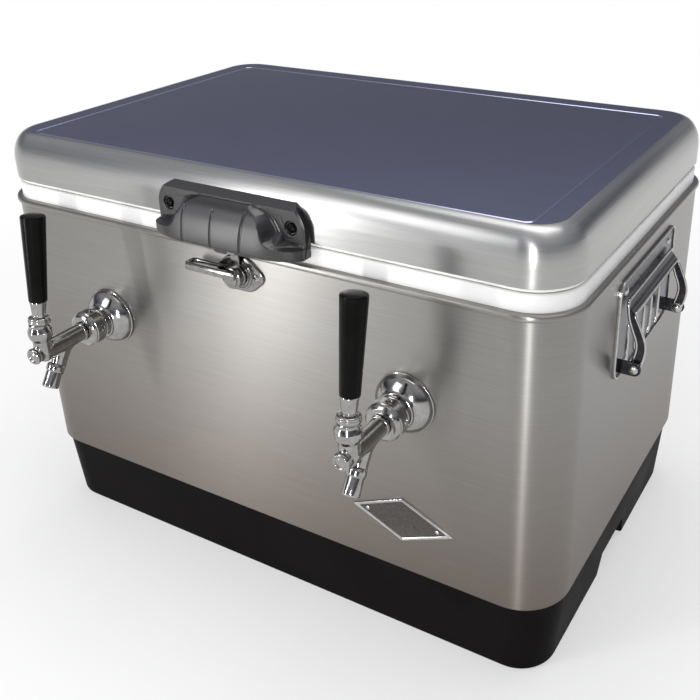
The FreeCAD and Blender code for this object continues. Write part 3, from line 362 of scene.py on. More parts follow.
# short, deep grit: a dark grey field that glints
badgeFace = brushedSteel(
    "blastedStainlessBadge", along="x", grainWidth=0.6, grainLength=3.0, grainBump=0.5, waveLength=30.0,
    waveWidth=30.0, waveBump=0.05, roughness=(0.34, 0.46), anisotropy=0.3, dark="#43403E", light="#6B6865",
)
# near-mirror, with black and white edges round every turned form
chrome = polishedMetal(
    "polishedChromePlatedBrass", hazeSize=6.0, dark="#8F8E8C", light="#A6A5A3", roughness=(0.1, 0.16), bump=0.12,
)
# a little warmer and softer than the chrome
nickel = polishedMetal(
    "polishedNickelPlatedZinc", hazeSize=5.0, dark="#858381", light="#9B9997", roughness=(0.1, 0.17), bump=0.15,
)
# pressed and left semi-bright: soft highlights along its rims
pressedSteel = polishedMetal(
    "pressedStainlessSemiBright", hazeSize=9.0, dark="#ABAAA8", light="#BFBEBC", roughness=(0.14, 0.24), bump=0.2,
    bumpDepth=0.15,
)
# painted dark reflection: the pressed steel darkened between its bright rims, as if mirroring dark surroundings
darkReflectionSteel = polishedMetal(
    "pressedStainlessPaintedDarkReflection", hazeSize=7.0, dark="#3C3C41", light="#515157", roughness=(0.2, 0.3), bump=0.2,
    bumpDepth=0.15,
)
# yellow, with the sheen of a lathe's fine cut
turnedBrass = polishedMetal(
    "turnedBrass", hazeSize=4.0, dark="#B08D4E", light="#CDAF6E", roughness=(0.2, 0.32), bump=0.2,
)
# pale and grainy, as sand leaves it
castAluminium = polishedMetal(
    "sandCastAluminium", hazeSize=2.0, dark="#9C9D9C", light="#B9BAB9", roughness=(0.42, 0.6), bump=0.6,
    bumpDepth=0.3,
)
# oiled black with small bright glints
blackScrew = polishedMetal(
    "blackOxideSteel", hazeSize=3.0, dark="#1B1B1D", light="#2C2C2F", roughness=(0.18, 0.3), bump=0.15,
)
# glossy white that stays soft in its shadows
whiteShell = mouldedPlastic(
    "mouldedWhitePolyethylene", grainSize=1.2, bloomSize=90.0, dark="#E2E2E0", light="#EBEBE9",
    roughness=(0.26, 0.36), bump=0.08, bumpDepth=0.05, ior=1.5,
)
# matt black that takes little light even at its edges
blackBase = mouldedPlastic(
    "mouldedBlackPolypropylene", grainSize=1.0, bloomSize=70.0, dark="#100E0F", light="#151314",
    roughness=(0.42, 0.55), bump=0.3, ior=1.49, mirror=0.02,
)
# charcoal with a broad soft shine
gripNylon = mouldedPlastic(
    "mouldedCharcoalNylon", grainSize=0.8, bloomSize=40.0, dark="#121214", light="#1A1A1C", roughness=(0.28, 0.38),
    bump=0.2, bumpDepth=0.08, ior=1.53, mirror=0.7,
)
# deep black, smooth as lacquer
handleBlack = mouldedPlastic(
    "mouldedGlossBlackPhenolic", grainSize=3.0, bloomSize=25.0, dark="#090908", light="#0E0E0D",
    roughness=(0.16, 0.24), bump=0.05, bumpDepth=0.05, ior=1.6, mirror=0.05,
)
# black with a waxy half gloss
drainPlastic = mouldedPlastic(
    "mouldedBlackAcetal", grainSize=1.0, bloomSize=20.0, dark="#191819", light="#232223", roughness=(0.3, 0.42),
    bump=0.2, bumpDepth=0.08, ior=1.48,
)
# a greyer, duller white than the shell
whitePlastic = mouldedPlastic(
    "mouldedWhitePolypropylene", grainSize=1.0, bloomSize=30.0, dark="#DADAD6", light="#E4E4E1",
    roughness=(0.3, 0.42), bump=0.1, bumpDepth=0.05, ior=1.49,
)
# milky tube with a wet shine
beerHose = mouldedPlastic(
    "extrudedFoodGradeVinyl", grainSize=2.0, bloomSize=30.0, dark="#B9BDB6", light="#CDD0C9", roughness=(0.14, 0.24),
    bump=0.05, ior=1.53,
)
# dull straw yellow, full of small cells
foamFill = mouldedPlastic(
    "pouredPolyurethaneFoam", grainSize=0.9, bloomSize=25.0, dark="#D6C48E", light="#E3D5A6", roughness=(0.8, 0.95),
    bump=0.8, bumpDepth=0.4, ior=1.4,
)
print("finishes made")

cadFinishes = {
    "black_base": blackBase,
    "brushed_belt": beltSteel,
    "brushed_lid": lidSteel,
    "white_liner": whiteShell,
    "white_plastic": whitePlastic,
    "foam": foamFill,
    "badge_steel": pressedSteel,
    "bright_fasteners": pressedSteel,
    "latch_chrome": nickel,
    "handle_steel": pressedSteel,
    "tap_chrome": chrome,
    "plain_brass": turnedBrass,
    "cold_plate_alloy": castAluminium,
    "beer_line": beerHose,
    "black_plastic": drainPlastic,
    "hinge_steel": pressedSteel,
    "grip_plastic": gripNylon,
    "black_screws": blackScrew,
    "handle_black": handleBlack,
}
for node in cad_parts.values():
    for slot in node.material_slots:
        slot.material = cadFinishes[slot.material.name]
print("solids dressed")


# lid

lid = SimpleNamespace(
    inset=2.3,
    roll=27.0,
    rollWide=17.5,
    hem=1.0,
    lineInset=21.6,
    lineEnds=17.5,
    lineRear=19.0,
    lineCorner=8.0,
    lineWidth=2.8,
    lineDepth=0.6,
    crown=0.4,
    crownRun=120.0,
    crownSteps=5,
    rollSteps=16,
)


def lidShell():
    # the rolled edge in one finish, the top with its embossed line and low crown in another, whose blue-grey colour is
    # painted slate reflection
    form = bmesh.new()
    low = chest.lidLow
    high = chest.lidHigh - lid.crown
    rollLow = high - lid.roll
    sheet = lid.hem
    profile = [(lid.inset + 2.4, low + 0.9), (lid.inset + sheet, low + 0.1), (lid.inset + 0.4, low)]
    profile += [(lid.inset, low + 0.4), (lid.inset, mix(low, rollLow, 0.5)), (lid.inset, rollLow)]
    for step in range(1, lid.rollSteps + 1):
        angle = math.radians(90) * step / lid.rollSteps
        inset = lid.inset + lid.rollWide * (1 - math.cos(angle))
        profile.append((inset, rollLow + lid.roll * math.sin(angle)))
    outside = [planRing(inset, z) for inset, z in profile]
    half = lid.lineWidth / 2
    deep = high - lid.lineDepth
    line = [(-half - 0.2, high), (-half, high), (-half * 0.3, deep)]
    line += [(half * 0.3, deep), (half, high), (half + 0.3, high)]
    flat = lid.inset + lid.rollWide + 0.15
    inside = [outside[-1], planRing(flat, high)]
    place = {"ends": lid.lineEnds, "rear": lid.lineRear}
    for shift, z in line:
        inside.append(planRing(lid.lineInset + shift, z, lid.lineCorner - shift, **place))
    for step in range(1, lid.crownSteps + 1):
        part = step / lid.crownSteps
        z = high + lid.crown * (1 - (1 - part) ** 2)
        corner = mix(lid.lineCorner - half, 2.0, part)
        inset = lid.lineInset + half + 0.3 + part * lid.crownRun
        inside.append(planRing(inset, z, corner, **place))
    loft(form, outside)
    inner = loft(form, inside, finish=1)
    form.faces.new(inner[-1]).material_index = 1
    makePiece("lidShell", form, [lidSteel, topSteel], "lid", ["lid_skin"], sharp=18)


# belt

belt = SimpleNamespace(sheet=0.8, beadHeight=6.0, beadFlare=2.4, beadSteps=12, rimInset=3.2)


def beltShell():
    # one sheet bent round the chest, with a rolled bead along its head
    form = bmesh.new()
    low = chest.beltLow
    high = chest.beltHigh
    bead = belt.beadHeight
    profile = [(belt.sheet, low), (0.25, low), (0.0, low + 0.3), (0.0, mix(low, high, 0.5))]
    profile.append((0.0, high - bead - 0.8))
    for step in range(belt.beadSteps + 1):
        angle = math.radians(180) * step / belt.beadSteps
        inset = -belt.beadFlare * math.sin(angle) ** 0.8
        profile.append((inset, high - bead / 2 - bead / 2 * math.cos(angle)))
    back = belt.rimInset - 0.1
    profile += [(back, high + 0.1), (back, high - 0.9), (belt.sheet, high - 0.9)]
    loft(form, [planRing(inset, z) for inset, z in profile], looped=True)
    makePiece("beltShell", form, [beltSteel], "chest", ["steel_belt"])


lidShell()
beltShell()
print("steel shells made")


# grip on the lid

grip = SimpleNamespace(
    halfWidth=78.0,
    low=366.0,
    plateTop=406.0,
    backTop=410.0,
    plateFront=-201.2,
    plateBack=-193.8,
    backTopY=-190.0,
    cornerLow=391.0,
    cornerHigh=411.0,
    cornerIn=18.0,
    edgeWidth=2.5,
    edgeDrop=1.2,
    bulgeLow=368.0,
    bulgeTop=404.6,
    reach=19.0,
    footRound=3.5,
    wall=3.0,
    shoulder=36.0,
    pullEnd=79.0,
    scoopLip=(
        (404.0, 26.0), (400.0, 36.0), (394.0, 41.0), (388.0, 44.5), (384.0, 46.0),
        (381.0, 47.5), (378.5, 51.0), (377.0, 56.0), (376.2, 62.0), (375.4, 79.0),
    ),
    scoopRidge=(
        (404.0, 29.0), (402.5, 38.0), (400.0, 44.4), (395.5, 48.5), (391.0, 51.0), (386.5, 53.0),
        (383.0, 55.5), (381.3, 59.0), (380.2, 63.0), (379.2, 69.0), (378.2, 75.0), (377.4, 79.5),
    ),
    ridgeRise=1.0,
    ridgeHalf=1.6,
    ridgeLow=377.6,
    grooves=((-36.0, 400.0), (-5.5, 400.0), (25.0, 403.5)),  # place and top
    grooveDepth=1.5,
    grooveHalf=1.5,
    grooveFade=8.0,
    grooveFoot=370.0,
    grooveLean=0.06,
    screwX=65.0,
    screwZ=391.0,
    recess=5.8,
    recessDepth=1.8,
    roomRise=34.0,
    roomEnds=(66.0, 55.0),
    straightHalf=48.0,
    fineRows=(384.0, 400.0),  # rows are closer below and above these
    rowSteps=(0.35, 0.6),
    screwHead=(4.6, 3.4),  # radius and rise
)


def gripHalf(z):
    # outline: straight sides with big rounded upper corners
    if z <= grip.cornerLow:
        return grip.halfWidth
    part = min((z - grip.cornerLow) / (grip.cornerHigh - grip.cornerLow), 1.0)
    return grip.halfWidth - grip.cornerIn * (1 - math.sqrt(max(1 - part * part, 0.0))) ** 0.8


def alongEdge(value, table):
    # straight-line reading of a small table of (value, result) pairs, highest value first
    if value >= table[0][0]:
        return table[0][1]
    for (high, a), (low, b) in zip(table, table[1:]):
        if value >= low:
            return mix(b, a, (value - low) / (high - low))
    return table[-1][1]


def gripReach(x, z):
    # how far the front stands out of the plate's face: a quarter-round pull with a thumb scoop in each end
    away = abs(x)
    span = grip.bulgeTop - grip.bulgeLow
    rise = min(max((z - grip.bulgeLow) / span, 0.0), 1.0)
    lip = alongEdge(z, grip.scoopLip)
    ridge = alongEdge(z, grip.scoopRidge)
    part = min(max((min(away, lip) - grip.shoulder) / (grip.pullEnd - grip.shoulder), 0.0), 1.0)
    reach = grip.reach * math.sqrt(1 - rise * rise) * math.sqrt(1 - part ** 2.2)
    if away > lip:
        share = min((away - lip) / max(ridge - lip, 1.0), 1.0)
        reach = mix(0.0, reach, (1 - share) ** 2.2)
    if z > grip.ridgeLow:
        off = (away - ridge) / grip.ridgeHalf
        fade = smoothStep(grip.ridgeLow, grip.ridgeLow + 1.5, z)
        reach += grip.ridgeRise * max(1 - off * off, 0.0) * fade
    foot = grip.low + grip.footRound
    if z < foot:
        under = (foot - z) / grip.footRound
        reach -= grip.footRound * (1 - math.sqrt(max(1 - under * under, 0.0)))
    for place, top in grip.grooves:
        lean = grip.grooveLean * (z - grip.grooveFoot) * (place > 0)
        off = abs(x - place - lean)
        if off < grip.grooveHalf and reach > 3:
            depth = grip.grooveDepth * (1 - (off / grip.grooveHalf) ** 1.5)
            fade = smoothStep(top, top - grip.grooveFade, z)
            reach -= depth * fade * smoothStep(grip.low - 0.5, grip.bulgeLow, z)
    hole = math.hypot(away - grip.screwX, z - grip.screwZ)
    sunk = smoothStep(grip.recess + 0.5, grip.recess - 0.5, hole)
    return reach - (grip.recessDepth + max(reach, 0.0)) * sunk


def gripColumns():
    # where the grip's surface is cut across: fine in its scoops, grooves and screw recesses
    def spread(start, stop, step):
        return {round(start + step * i, 2) for i in range(round((stop - start) / step) + 1)}

    half = grip.halfWidth
    ends = spread(grip.shoulder, half, 0.6) | spread(grip.screwX - 7.5, grip.screwX + 7.5, 0.5)
    xs = spread(-half, half, 1.5) | {sign * x for x in ends for sign in (-1, 1)}
    for place, top in grip.grooves:
        xs |= spread(place - 2.1, place + 4.2, 0.3)
    columns = sorted(x for x in xs if abs(x) <= half)
    return [x for i, x in enumerate(columns) if i == 0 or x - columns[i - 1] > 0.12]


def gripRows():
    rows = []
    z = grip.low
    low, high = grip.fineRows
    fine, coarse = grip.rowSteps
    while z < grip.plateTop - 0.01:
        rows.append(z)
        z += fine if z < low or z > high else coarse
    return rows + [grip.plateTop]


def lidGrip():
    form = bmesh.new()
    columns = gripColumns()
    face = grip.plateFront

    def across(x, z):
        # columns near the ends follow the rounded corners
        keep = grip.straightHalf
        if abs(x) <= keep:
            return x
        return math.copysign(keep + (abs(x) - keep) * (gripHalf(z) - keep) / (grip.halfWidth - keep), x)

    def roomAt(x, part):
        return grip.low + (grip.roomRise * smoothStep(*grip.roomEnds, abs(x)) + 0.05) * part

    frontRows = []
    for z in gripRows():
        ring = []
        for x in columns:
            here = across(x, z)
            edge = smoothStep(gripHalf(z) - grip.edgeWidth, gripHalf(z), abs(here))
            reach = gripReach(here, z) - grip.edgeDrop * edge ** 2
            ring.append(at(here, face - reach, z))
        frontRows.append(ring)
    topRows = []
    for part in (0.12, 0.3, 0.65, 1.0):
        z = mix(grip.plateTop, grip.backTop, part ** 0.9)
        y = mix(face + 0.4, grip.backTopY, part)
        topRows.append([at(across(x, z), y, z) for x in columns])
    backRows = []
    for part in (0.0, 0.5, 1.0):
        z = mix(grip.backTop - 6.0, grip.low, part)
        backRows.append([at(across(x, z), grip.plateBack, z) for x in columns])
    plate = [[at(x, face - 0.1, roomAt(x, part)) for x in columns] for part in (0.02, 0.5, 1.0)]
    cavity = []
    for part in (1.0, 0.92, 0.8, 0.6, 0.3, 0.02):
        ring = []
        for x in columns:
            z = roomAt(x, part)
            ring.append(at(x, face - max(gripReach(x, max(z, grip.grooveFoot)) - grip.wall, 0.3), z))
        cavity.append(ring)
    # one closed skin: up the front, over the top, down the back, and round through the finger room
    grid = loft(form, frontRows + topRows + backRows + plate + cavity, around=False, looped=True)
    for end in (0, -1):
        form.faces.new([row[end] for row in grid])
    makePiece("lidGripMoulding", form, [gripNylon], "lid", ["lid_grip"], sharp=38)


def crossHead(form, place, radius, rise):
    # domed screw head with a cross recess; the recess is not cut, a cross block in the second finish stands in it as
    # painted shade
    profile = [(0.0, rise), (radius * 0.25, rise * 0.98), (radius * 0.6, rise * 0.85)]
    profile += [(radius * 0.88, rise * 0.5), (radius, 0.0)]
    spin(profile, place, outward, form, steps=40)
    beside = outward.cross(upward)
    for a, b in ((upward, beside), (beside, upward)):
        long = a * radius * 0.55
        wide = b * radius * 0.13
        base = place + outward * (rise * 0.4)
        top = place + outward * (rise + 0.03)
        corners = [long + wide, long - wide, -long - wide, -long + wide]
        loft(form, [[base + c for c in corners], [top + c for c in corners]], capped=True, finish=1)


def gripScrews():
    form = bmesh.new()
    for sign in (-1, 1):
        place = at(sign * grip.screwX, grip.plateFront + grip.recessDepth - 0.1, grip.screwZ)
        crossHead(form, place, *grip.screwHead)
    # the second finish is the painted shade in the cross recesses
    makePiece("lidGripScrews", form, [blackScrew, blackBase], "lid", ["lid_grip_screws"])


tongue = {
    "outline": ((-14.5, 356.8, 2.5), (-1.5, 356.8, 1.5), (-1.5, 358.6, 0.5), (25, 358.6, 3), (25, 371), (-14.5, 371)),
    "back": -203.2,
    "thick": 3.4,
    "catch": ((0.5, 358.0, 1.2), (9.0, 358.0, 1.2), (9.0, 362.2, 1.2), (0.5, 362.2, 1.2)),
    "catchBack": -205.8,
    "catchThick": 1.8,
}


def gripTongue():
    # thumb piece under the pull, with the latch's small bright catch in its foot
    for shape, back, thick in (("outline", "back", "thick"), ("catch", "catchBack", "catchThick")):
        form = bmesh.new()
        outline = roundCorners(tongue[shape])
        extrude(form, outline, lambda a, b, height: at(a, tongue[back] - height, b), tongue[thick])
        if shape == "outline":
            makePiece("lidGripTongue", form, [gripNylon], "lid", ["lid_grip"], bevel=1.0)
        else:
            makePiece("latchCatch", form, [nickel], "lid", bevel=0.5)


lidGrip()
gripScrews()
gripTongue()
print("lid grip made")


# latch

latch = SimpleNamespace(
    x=4.0,
    z=337.0,
    loopZ=341.6,
    plateThick=2.5,
    leverBack=-201.0,
    screwSpacing=36.0,
    screwHead=(3.4, 1.7),  # radius and rise
    # plan of the loop's bar as (x, y, corner radius), outside and window
    loopOuter=(
        (-43.8, -215.4, 4.5), (11.8, -215.4, 2.4), (11.8, -210.3, 1.5),
        (-6.4, -210.3, 0.4), (-6.4, -201.0, 1.0), (-43.8, -201.0, 5.0),
    ),
    loopInner=(
        (-39.4, -211.4, 2.2), (-9.6, -211.4, 1.4), (-9.6, -209.6, 0.3),
        (-9.6, -206.8, 0.3), (-9.6, -204.8, 1.4), (-39.4, -204.8, 2.2),
    ),
    loopHalf=3.6,
)


def shrink(points, distance):
    # moves a closed outline inward by a distance
    area = sum(a.cross(b) for a, b in zip(points, points[1:] + points[:1]))
    turn = 1 if area > 0 else -1
    result = []
    for index, point in enumerate(points):
        along = (points[(index + 1) % len(points)] - points[index - 1]).normalized()
        result.append(point + Vector((-along.y, along.x)) * turn * distance)
    return result


def escutcheon():
    # softly domed diamond plate and the turned collar at its middle
    form = bmesh.new()
    corners = [(30, 0, 8.5), (11, 16.2, 14), (-11, 16.2, 14), (-30, 0, 8.5), (-11, -16.2, 14), (11, -16.2, 14)]
    outline = roundCorners(corners, steps=7)
    rings = []
    for inset, height in ((0, 0), (0, 1.3), (0.35, 1.95), (0.9, 2.35), (1.7, 2.5)):
        rings.append([at(latch.x + a, front - height, latch.z + b) for a, b in shrink(outline, inset)])
    loft(form, rings, capped=True)
    profile = [(14.2, 2.3), (13.8, 3.6, 0.5), (12.4, 3.7, 0.3), (12.2, 3.1, 0.3), (11.6, 3.2, 0.3)]
    profile += [(11.4, 4.4, 0.3), (10.4, 4.5, 0.2), (10.2, 4.4)]
    spin(profile, at(latch.x, front, latch.z), outward, form)
    makePiece("latchEscutcheon", form, [nickel], "chest", ["latch_escutcheon"], sharp=50)


def latchScrews():
    form = bmesh.new()
    for sign in (-1, 1):
        place = at(latch.x + sign * latch.screwSpacing / 2, front - latch.plateThick, latch.z)
        crossHead(form, place, *latch.screwHead)
    # the second finish is the painted shade in the cross recesses
    makePiece("latchScrews", form, [pressedSteel, blackScrew], "chest", ["latch_screws"])


def latchHub():
    centre = at(latch.x, latch.leverBack, latch.z)
    profile = [(0.0, 0.0), (9.9, 0.0, 0.3), (9.9, 2.2, 0.4), (9.2, 2.5, 0.2), (9.2, 3.4, 0.2), (9.9, 3.7, 0.4)]
    profile += [(9.9, 8.2, 1.2), (8.6, 9.0, 0.5), (7.6, 9.0, 0.4), (7.4, 10.4, 0.8), (5.6, 11.0, 0.8), (0.0, 11.0)]
    form = spin(profile, centre, outward)
    makePiece("latchHub", form, [nickel], "latch", ["latch_lever"], sharp=50)


def latchLoop():
    # the thumb loop: a bar bent round an open window, thicker in front
    form = bmesh.new()
    half = latch.loopHalf
    section = [(1.7, half), (1.1, half - 0.25), (0.5, half - 0.8), (0.1, half - 1.8), (0.0, half - 2.8)]
    section += [(inset, -rise) for inset, rise in reversed(section)]
    rings = []
    for outline, sign in ((latch.loopOuter, 1), (latch.loopInner, -1)):
        points = roundCorners(outline, steps=6)
        edge = [(shrink(points, inset * sign), latch.loopZ + rise) for inset, rise in section]
        rings += [[at(p.x, p.y, z) for p in line] for line, z in (edge if sign > 0 else reversed(edge))]
    loft(form, rings, looped=True)
    makePiece("latchLoop", form, [nickel], "latch", ["latch_lever"], sharp=50)


def latchFinger():
    # the flat finger that stands behind the tongue when the latch is closed
    form = bmesh.new()
    outline = roundCorners([(-4.2, 0), (4.2, 0), (4.2, 20.4, 2.5), (-4.2, 20.4, 2.5)])

    def place(a, b, height):
        return at(latch.x + a, latch.leverBack - height, latch.z + b)

    extrude(form, outline, place, 1.6)
    makePiece("latchFinger", form, [nickel], "latch", ["latch_lever"], bevel=0.4)


escutcheon()
latchScrews()
latchHub()
latchLoop()
latchFinger()
print("latch made")


# taps, from the wall out

tap = SimpleNamespace(
    left=-165.5,
    right=165.5,
    z=256.0,
    valveOut=83.0,
    pivotZ=277.0,
    lean=8.5,
    flareWide=26.6,
    flareNarrow=16.6,
    flareOut=(2.0, 14.0),
    flareSteps=14,
    spannerHoles=5,
    spannerHoleOut=28.8,
    spannerHoleRadius=2.8,
    spannerHoleDepth=2.6,
    bonnetLow=12.4,
    spoutTilt=32.0,
    spoutMouth=(84.5, 37.0),  # out from the wall, below the barrel
    spoutLength=24.0,
    plugOut=9.3,
    voxel=0.5,
)


def outFrom(x, distance, z=tap.z):
    return at(x, front - distance, z)


def tapPiece(name, form, replaced=(), body="chest", sharp=45):
    makePiece(name, form, [chrome], body, replaced, sharp=sharp)


def wallFlange(name, x):
    # bell: flat foot, hollow flare, short neck
    profile = [(11.2, 0.4), (25.5, 0.0), (27.5, 0.0, 0.6), (27.5, 1.5, 0.6), (26.7, 1.8, 0.2)]
    low, high = tap.flareOut
    for step in range(tap.flareSteps + 1):
        share = step / tap.flareSteps
        radius = tap.flareWide - (tap.flareWide - tap.flareNarrow) * share ** 2
        profile.append((radius, low + (high - low) * share))
    profile += [(16.4, 14.6, 0.2), (16.4, 16.0, 0.6), (15.2, 16.6, 0.4), (11.2, 16.6)]
    form = spin(profile, outFrom(x, 0), outward, steps=96, looped=True)
    tapPiece("wallFlange" + name, form, ["wall_flange_" + name.lower()], sharp=50)


def couplingNut(name, x):
    reach = tap.spannerHoleRadius
    pitch = 2 * math.pi / tap.spannerHoles

    def shape(radius, height, angle):
        # spanner holes in the wide band
        if radius < 15.5:
            return radius
        away = (angle + pitch / 2) % pitch - pitch / 2
        gap = math.hypot(away * radius, height - tap.spannerHoleOut)
        return radius - tap.spannerHoleDepth * smoothStep(reach + 0.35, reach - 0.35, gap)

    profile = [(11.3, 18.4), (14.6, 18.4, 0.4), (15.0, 20.2, 0.4), (14.4, 20.6, 0.2), (14.4, 21.4, 0.2)]
    profile += [(15.2, 21.8, 0.4), (15.2, 23.6, 0.4), (17.0, 24.4, 0.7)]
    profile += [(17.0, 24.8 + 0.35 * i) for i in range(24)]
    profile += [(17.0, 33.4, 0.6), (16.2, 34.1, 0.3), (16.2, 34.6, 0.3), (16.6, 35.0, 0.5), (15.6, 36.6, 0.8)]
    profile += [(13.6, 38.2, 0.8), (11.6, 38.4, 0.5), (9.2, 38.4), (9.2, 34.0), (11.3, 34.0)]
    form = spin(profile, outFrom(x, 0), outward, steps=200, looped=True, shape=shape)
    tapPiece("couplingNut" + name, form, ["coupling_nut_" + name.lower()])


def faucetBody(name, x):
    # cast brass: barrel, upright housing, front boss and the web that runs down into the spout
    z = tap.z
    barrel = [(0.0, 30.0), (8.2, 30.0), (8.3, 56.0), (8.6, 72.0), (8.6, 83.0), (0.0, 83.0)]
    boss = [(0.0, 70.0), (7.1, 70.0), (7.1, 92.4), (0.0, 92.4)]
    housing = [(0.0, -9.4), (4.4, -8.7), (7.4, -6.0), (8.3, -1.0), (8.4, 4.0), (8.0, 15.0), (0.0, 15.0)]
    form = spin(barrel, outFrom(x, 0), outward, steps=48)
    spin(boss, outFrom(x, 0), outward, form, steps=48)
    spin(housing, outFrom(x, tap.valveOut), upward, form, steps=48)
    spine = ((49, 0.4), (56, 1.6), (62.4, 6.2), (67.4, 13.6), (71.6, 21.0), (75.0, 27.5))
    path = curvePath([outFrom(x, out, z - drop) for out, drop in spine], 8)
    radii = []
    for index in range(len(path)):
        part = index / (len(path) - 1)
        radii.append((mix(8.0, 6.4, smoothStep(0.0, 0.7, part)), mix(8.2, 8.0, part) * (1 - 0.35 * part ** 6)))
    sweep(form, path, radii, steps=40)
    bmesh.ops.recalc_face_normals(form, faces=form.faces)
    piece = setDown(form, "faucetBody" + name)
    rough = piece.data
    weld = piece.modifiers.new("castingWeld", "REMESH")
    weld.mode = "VOXEL"
    weld.voxel_size = tap.voxel / 1000
    weld.use_smooth_shade = True
    smooth = piece.modifiers.new("polishedBlends", "SMOOTH")
    smooth.factor = 0.5
    smooth.iterations = 14
    cast = bpy.data.meshes.new_from_object(piece.evaluated_get(bpy.context.evaluated_depsgraph_get()))
    piece.modifiers.clear()
    piece.data = cast
    bpy.data.meshes.remove(rough)
    cast.name = "faucetBody" + name
    cast.polygons.foreach_set("use_smooth", [True] * len(cast.polygons))
    cast.materials.clear()
    cast.materials.append(chrome)
    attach(piece, "chest")
    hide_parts("faucet_body_" + name.lower())


def faucetRings(name, x):
    # collar held by the nut, ring before the front plug, and the nozzle tube
    profile = [(4.4, 29.2), (12.6, 29.2, 0.4), (12.6, 33.4, 0.4), (8.2, 33.4), (8.2, 38.8), (9.0, 39.0, 0.4)]
    profile += [(9.0, 41.4, 0.5), (8.3, 41.8), (4.4, 41.8)]
    form = spin(profile, outFrom(x, 0), outward, looped=True)
    tilt = math.radians(tap.spoutTilt)
    heading = at(0, -math.sin(tilt), -math.cos(tilt))
    out, drop = tap.spoutMouth
    top = outFrom(x, out, tap.z - drop) - heading * tap.spoutLength
    nozzle = [(5.7, 8.0), (6.9, 8.0, 0.5), (7.1, 8.8), (7.5, 22.6, 0.6), (7.0, 24.0, 0.4), (6.2, 24.0, 0.4)]
    nozzle.append((5.8, 23.0))
    spin(nozzle, top, heading, form, looped=True)
    shoulder = [(6.4, 1.6), (7.6, 1.8, 0.6), (8.2, 4.0, 0.8), (8.1, 7.6, 0.6), (7.2, 9.0), (6.4, 8.8)]
    spin(shoulder, top, heading, form, looped=True)
    tapPiece("faucetRings" + name, form, ["faucet_body_" + name.lower()])


def faucetPlug(name, x):
    start = tap.valveOut + tap.plugOut
    profile = [(0.0, start - 2), (5.6, start - 2), (5.8, start - 0.2), (7.1, start, 0.4), (7.7, start + 0.9, 0.5)]
    profile += [(7.7, start + 2.8, 0.9), (6.6, start + 4.0, 0.7), (5.3, start + 3.8, 0.4), (4.6, start + 3.0, 0.4)]
    profile += [(2.6, start + 3.7, 0.8), (0.0, start + 4.0)]
    form = spin(profile, outFrom(x, 0), outward)
    tapPiece("faucetPlug" + name, form, ["faucet_knobs"])


def bonnet(name, x):
    profile = [(8.1, 0.0), (8.6, 0.0, 0.3), (9.2, 1.2, 0.5), (10.4, 3.6, 1.2), (10.9, 6.6, 2.0), (10.7, 9.8, 1.6)]
    profile += [(9.6, 12.4, 1.0), (8.8, 14.0, 0.8), (8.7, 16.2, 0.6), (7.6, 17.6, 0.4)]
    profile += [(6.9, 17.4), (6.8, 6.0), (8.1, 2.4)]

    def shape(radius, height, angle):
        # two flats for the spanner at the widest band
        if radius < 9.5 or not 4.0 < height < 11.5:
            return radius
        return radius + 0.9 * smoothStep(0.90, 0.97, abs(math.cos(angle)))

    base = outFrom(x, tap.valveOut, tap.z + tap.bonnetLow)
    form = spin(profile, base, upward, steps=120, looped=True, shape=shape)
    tapPiece("faucetBonnet" + name, form, ["faucet_bonnet_" + name.lower()])


def tapLever(name, x, body):
    # up the leaning lever: the cap that rides over the bonnet, the ferrule and the handle
    pivot = outFrom(x, tap.valveOut, tap.pivotZ)
    lean = math.radians(tap.lean)
    axis = at(0, math.sin(lean), math.cos(lean))
    cap = [(5.0, 12.2), (8.9, 8.9, 0.3), (9.6, 8.3, 0.3), (9.9, 9.4, 0.6), (9.8, 11.0, 0.6), (9.0, 11.8, 0.3)]
    cap += [(9.3, 12.4, 0.3), (8.8, 13.5, 0.5), (7.2, 13.9, 0.3), (5.0, 13.7)]
    form = spin(cap, pivot, axis, looped=True)
    tapPiece("leverCap" + name, form, body=body)
    ferrule = [(0.0, 13.75), (6.4, 13.75, 0.4), (6.4, 14.9, 0.4), (5.9, 15.3, 0.3), (6.1, 16.6), (7.2, 26.5)]
    ferrule += [(7.6, 27.7, 0.4), (7.4, 28.5), (0.0, 28.5)]
    form = spin(ferrule, pivot, axis)
    tapPiece("handleFerrule" + name, form, ["handle_ferrule_" + name.lower()], body)
    handle = [(0.0, 28.55), (7.7, 28.55), (8.0, 29.0), (8.1, 30.6), (9.4, 66.0), (10.7, 103.0), (10.8, 105.3, 0.9)]
    handle += [(10.2, 106.5, 0.8), (8.4, 106.9), (0.0, 107.0)]
    form = spin(handle, pivot, axis, steps=96)
    replaced = ["tap_handle_" + name.lower()]
    makePiece("tapHandle" + name, form, [handleBlack], body, replaced, sharp=60)


for tapName, tapX in (("Left", tap.left), ("Right", tap.right)):
    for part in (wallFlange, couplingNut, faucetBody, faucetRings, faucetPlug, bonnet):
        part(tapName, tapX)
    tapLever(tapName, tapX, tapName.lower() + "_tap")
print("taps made")


# side handles

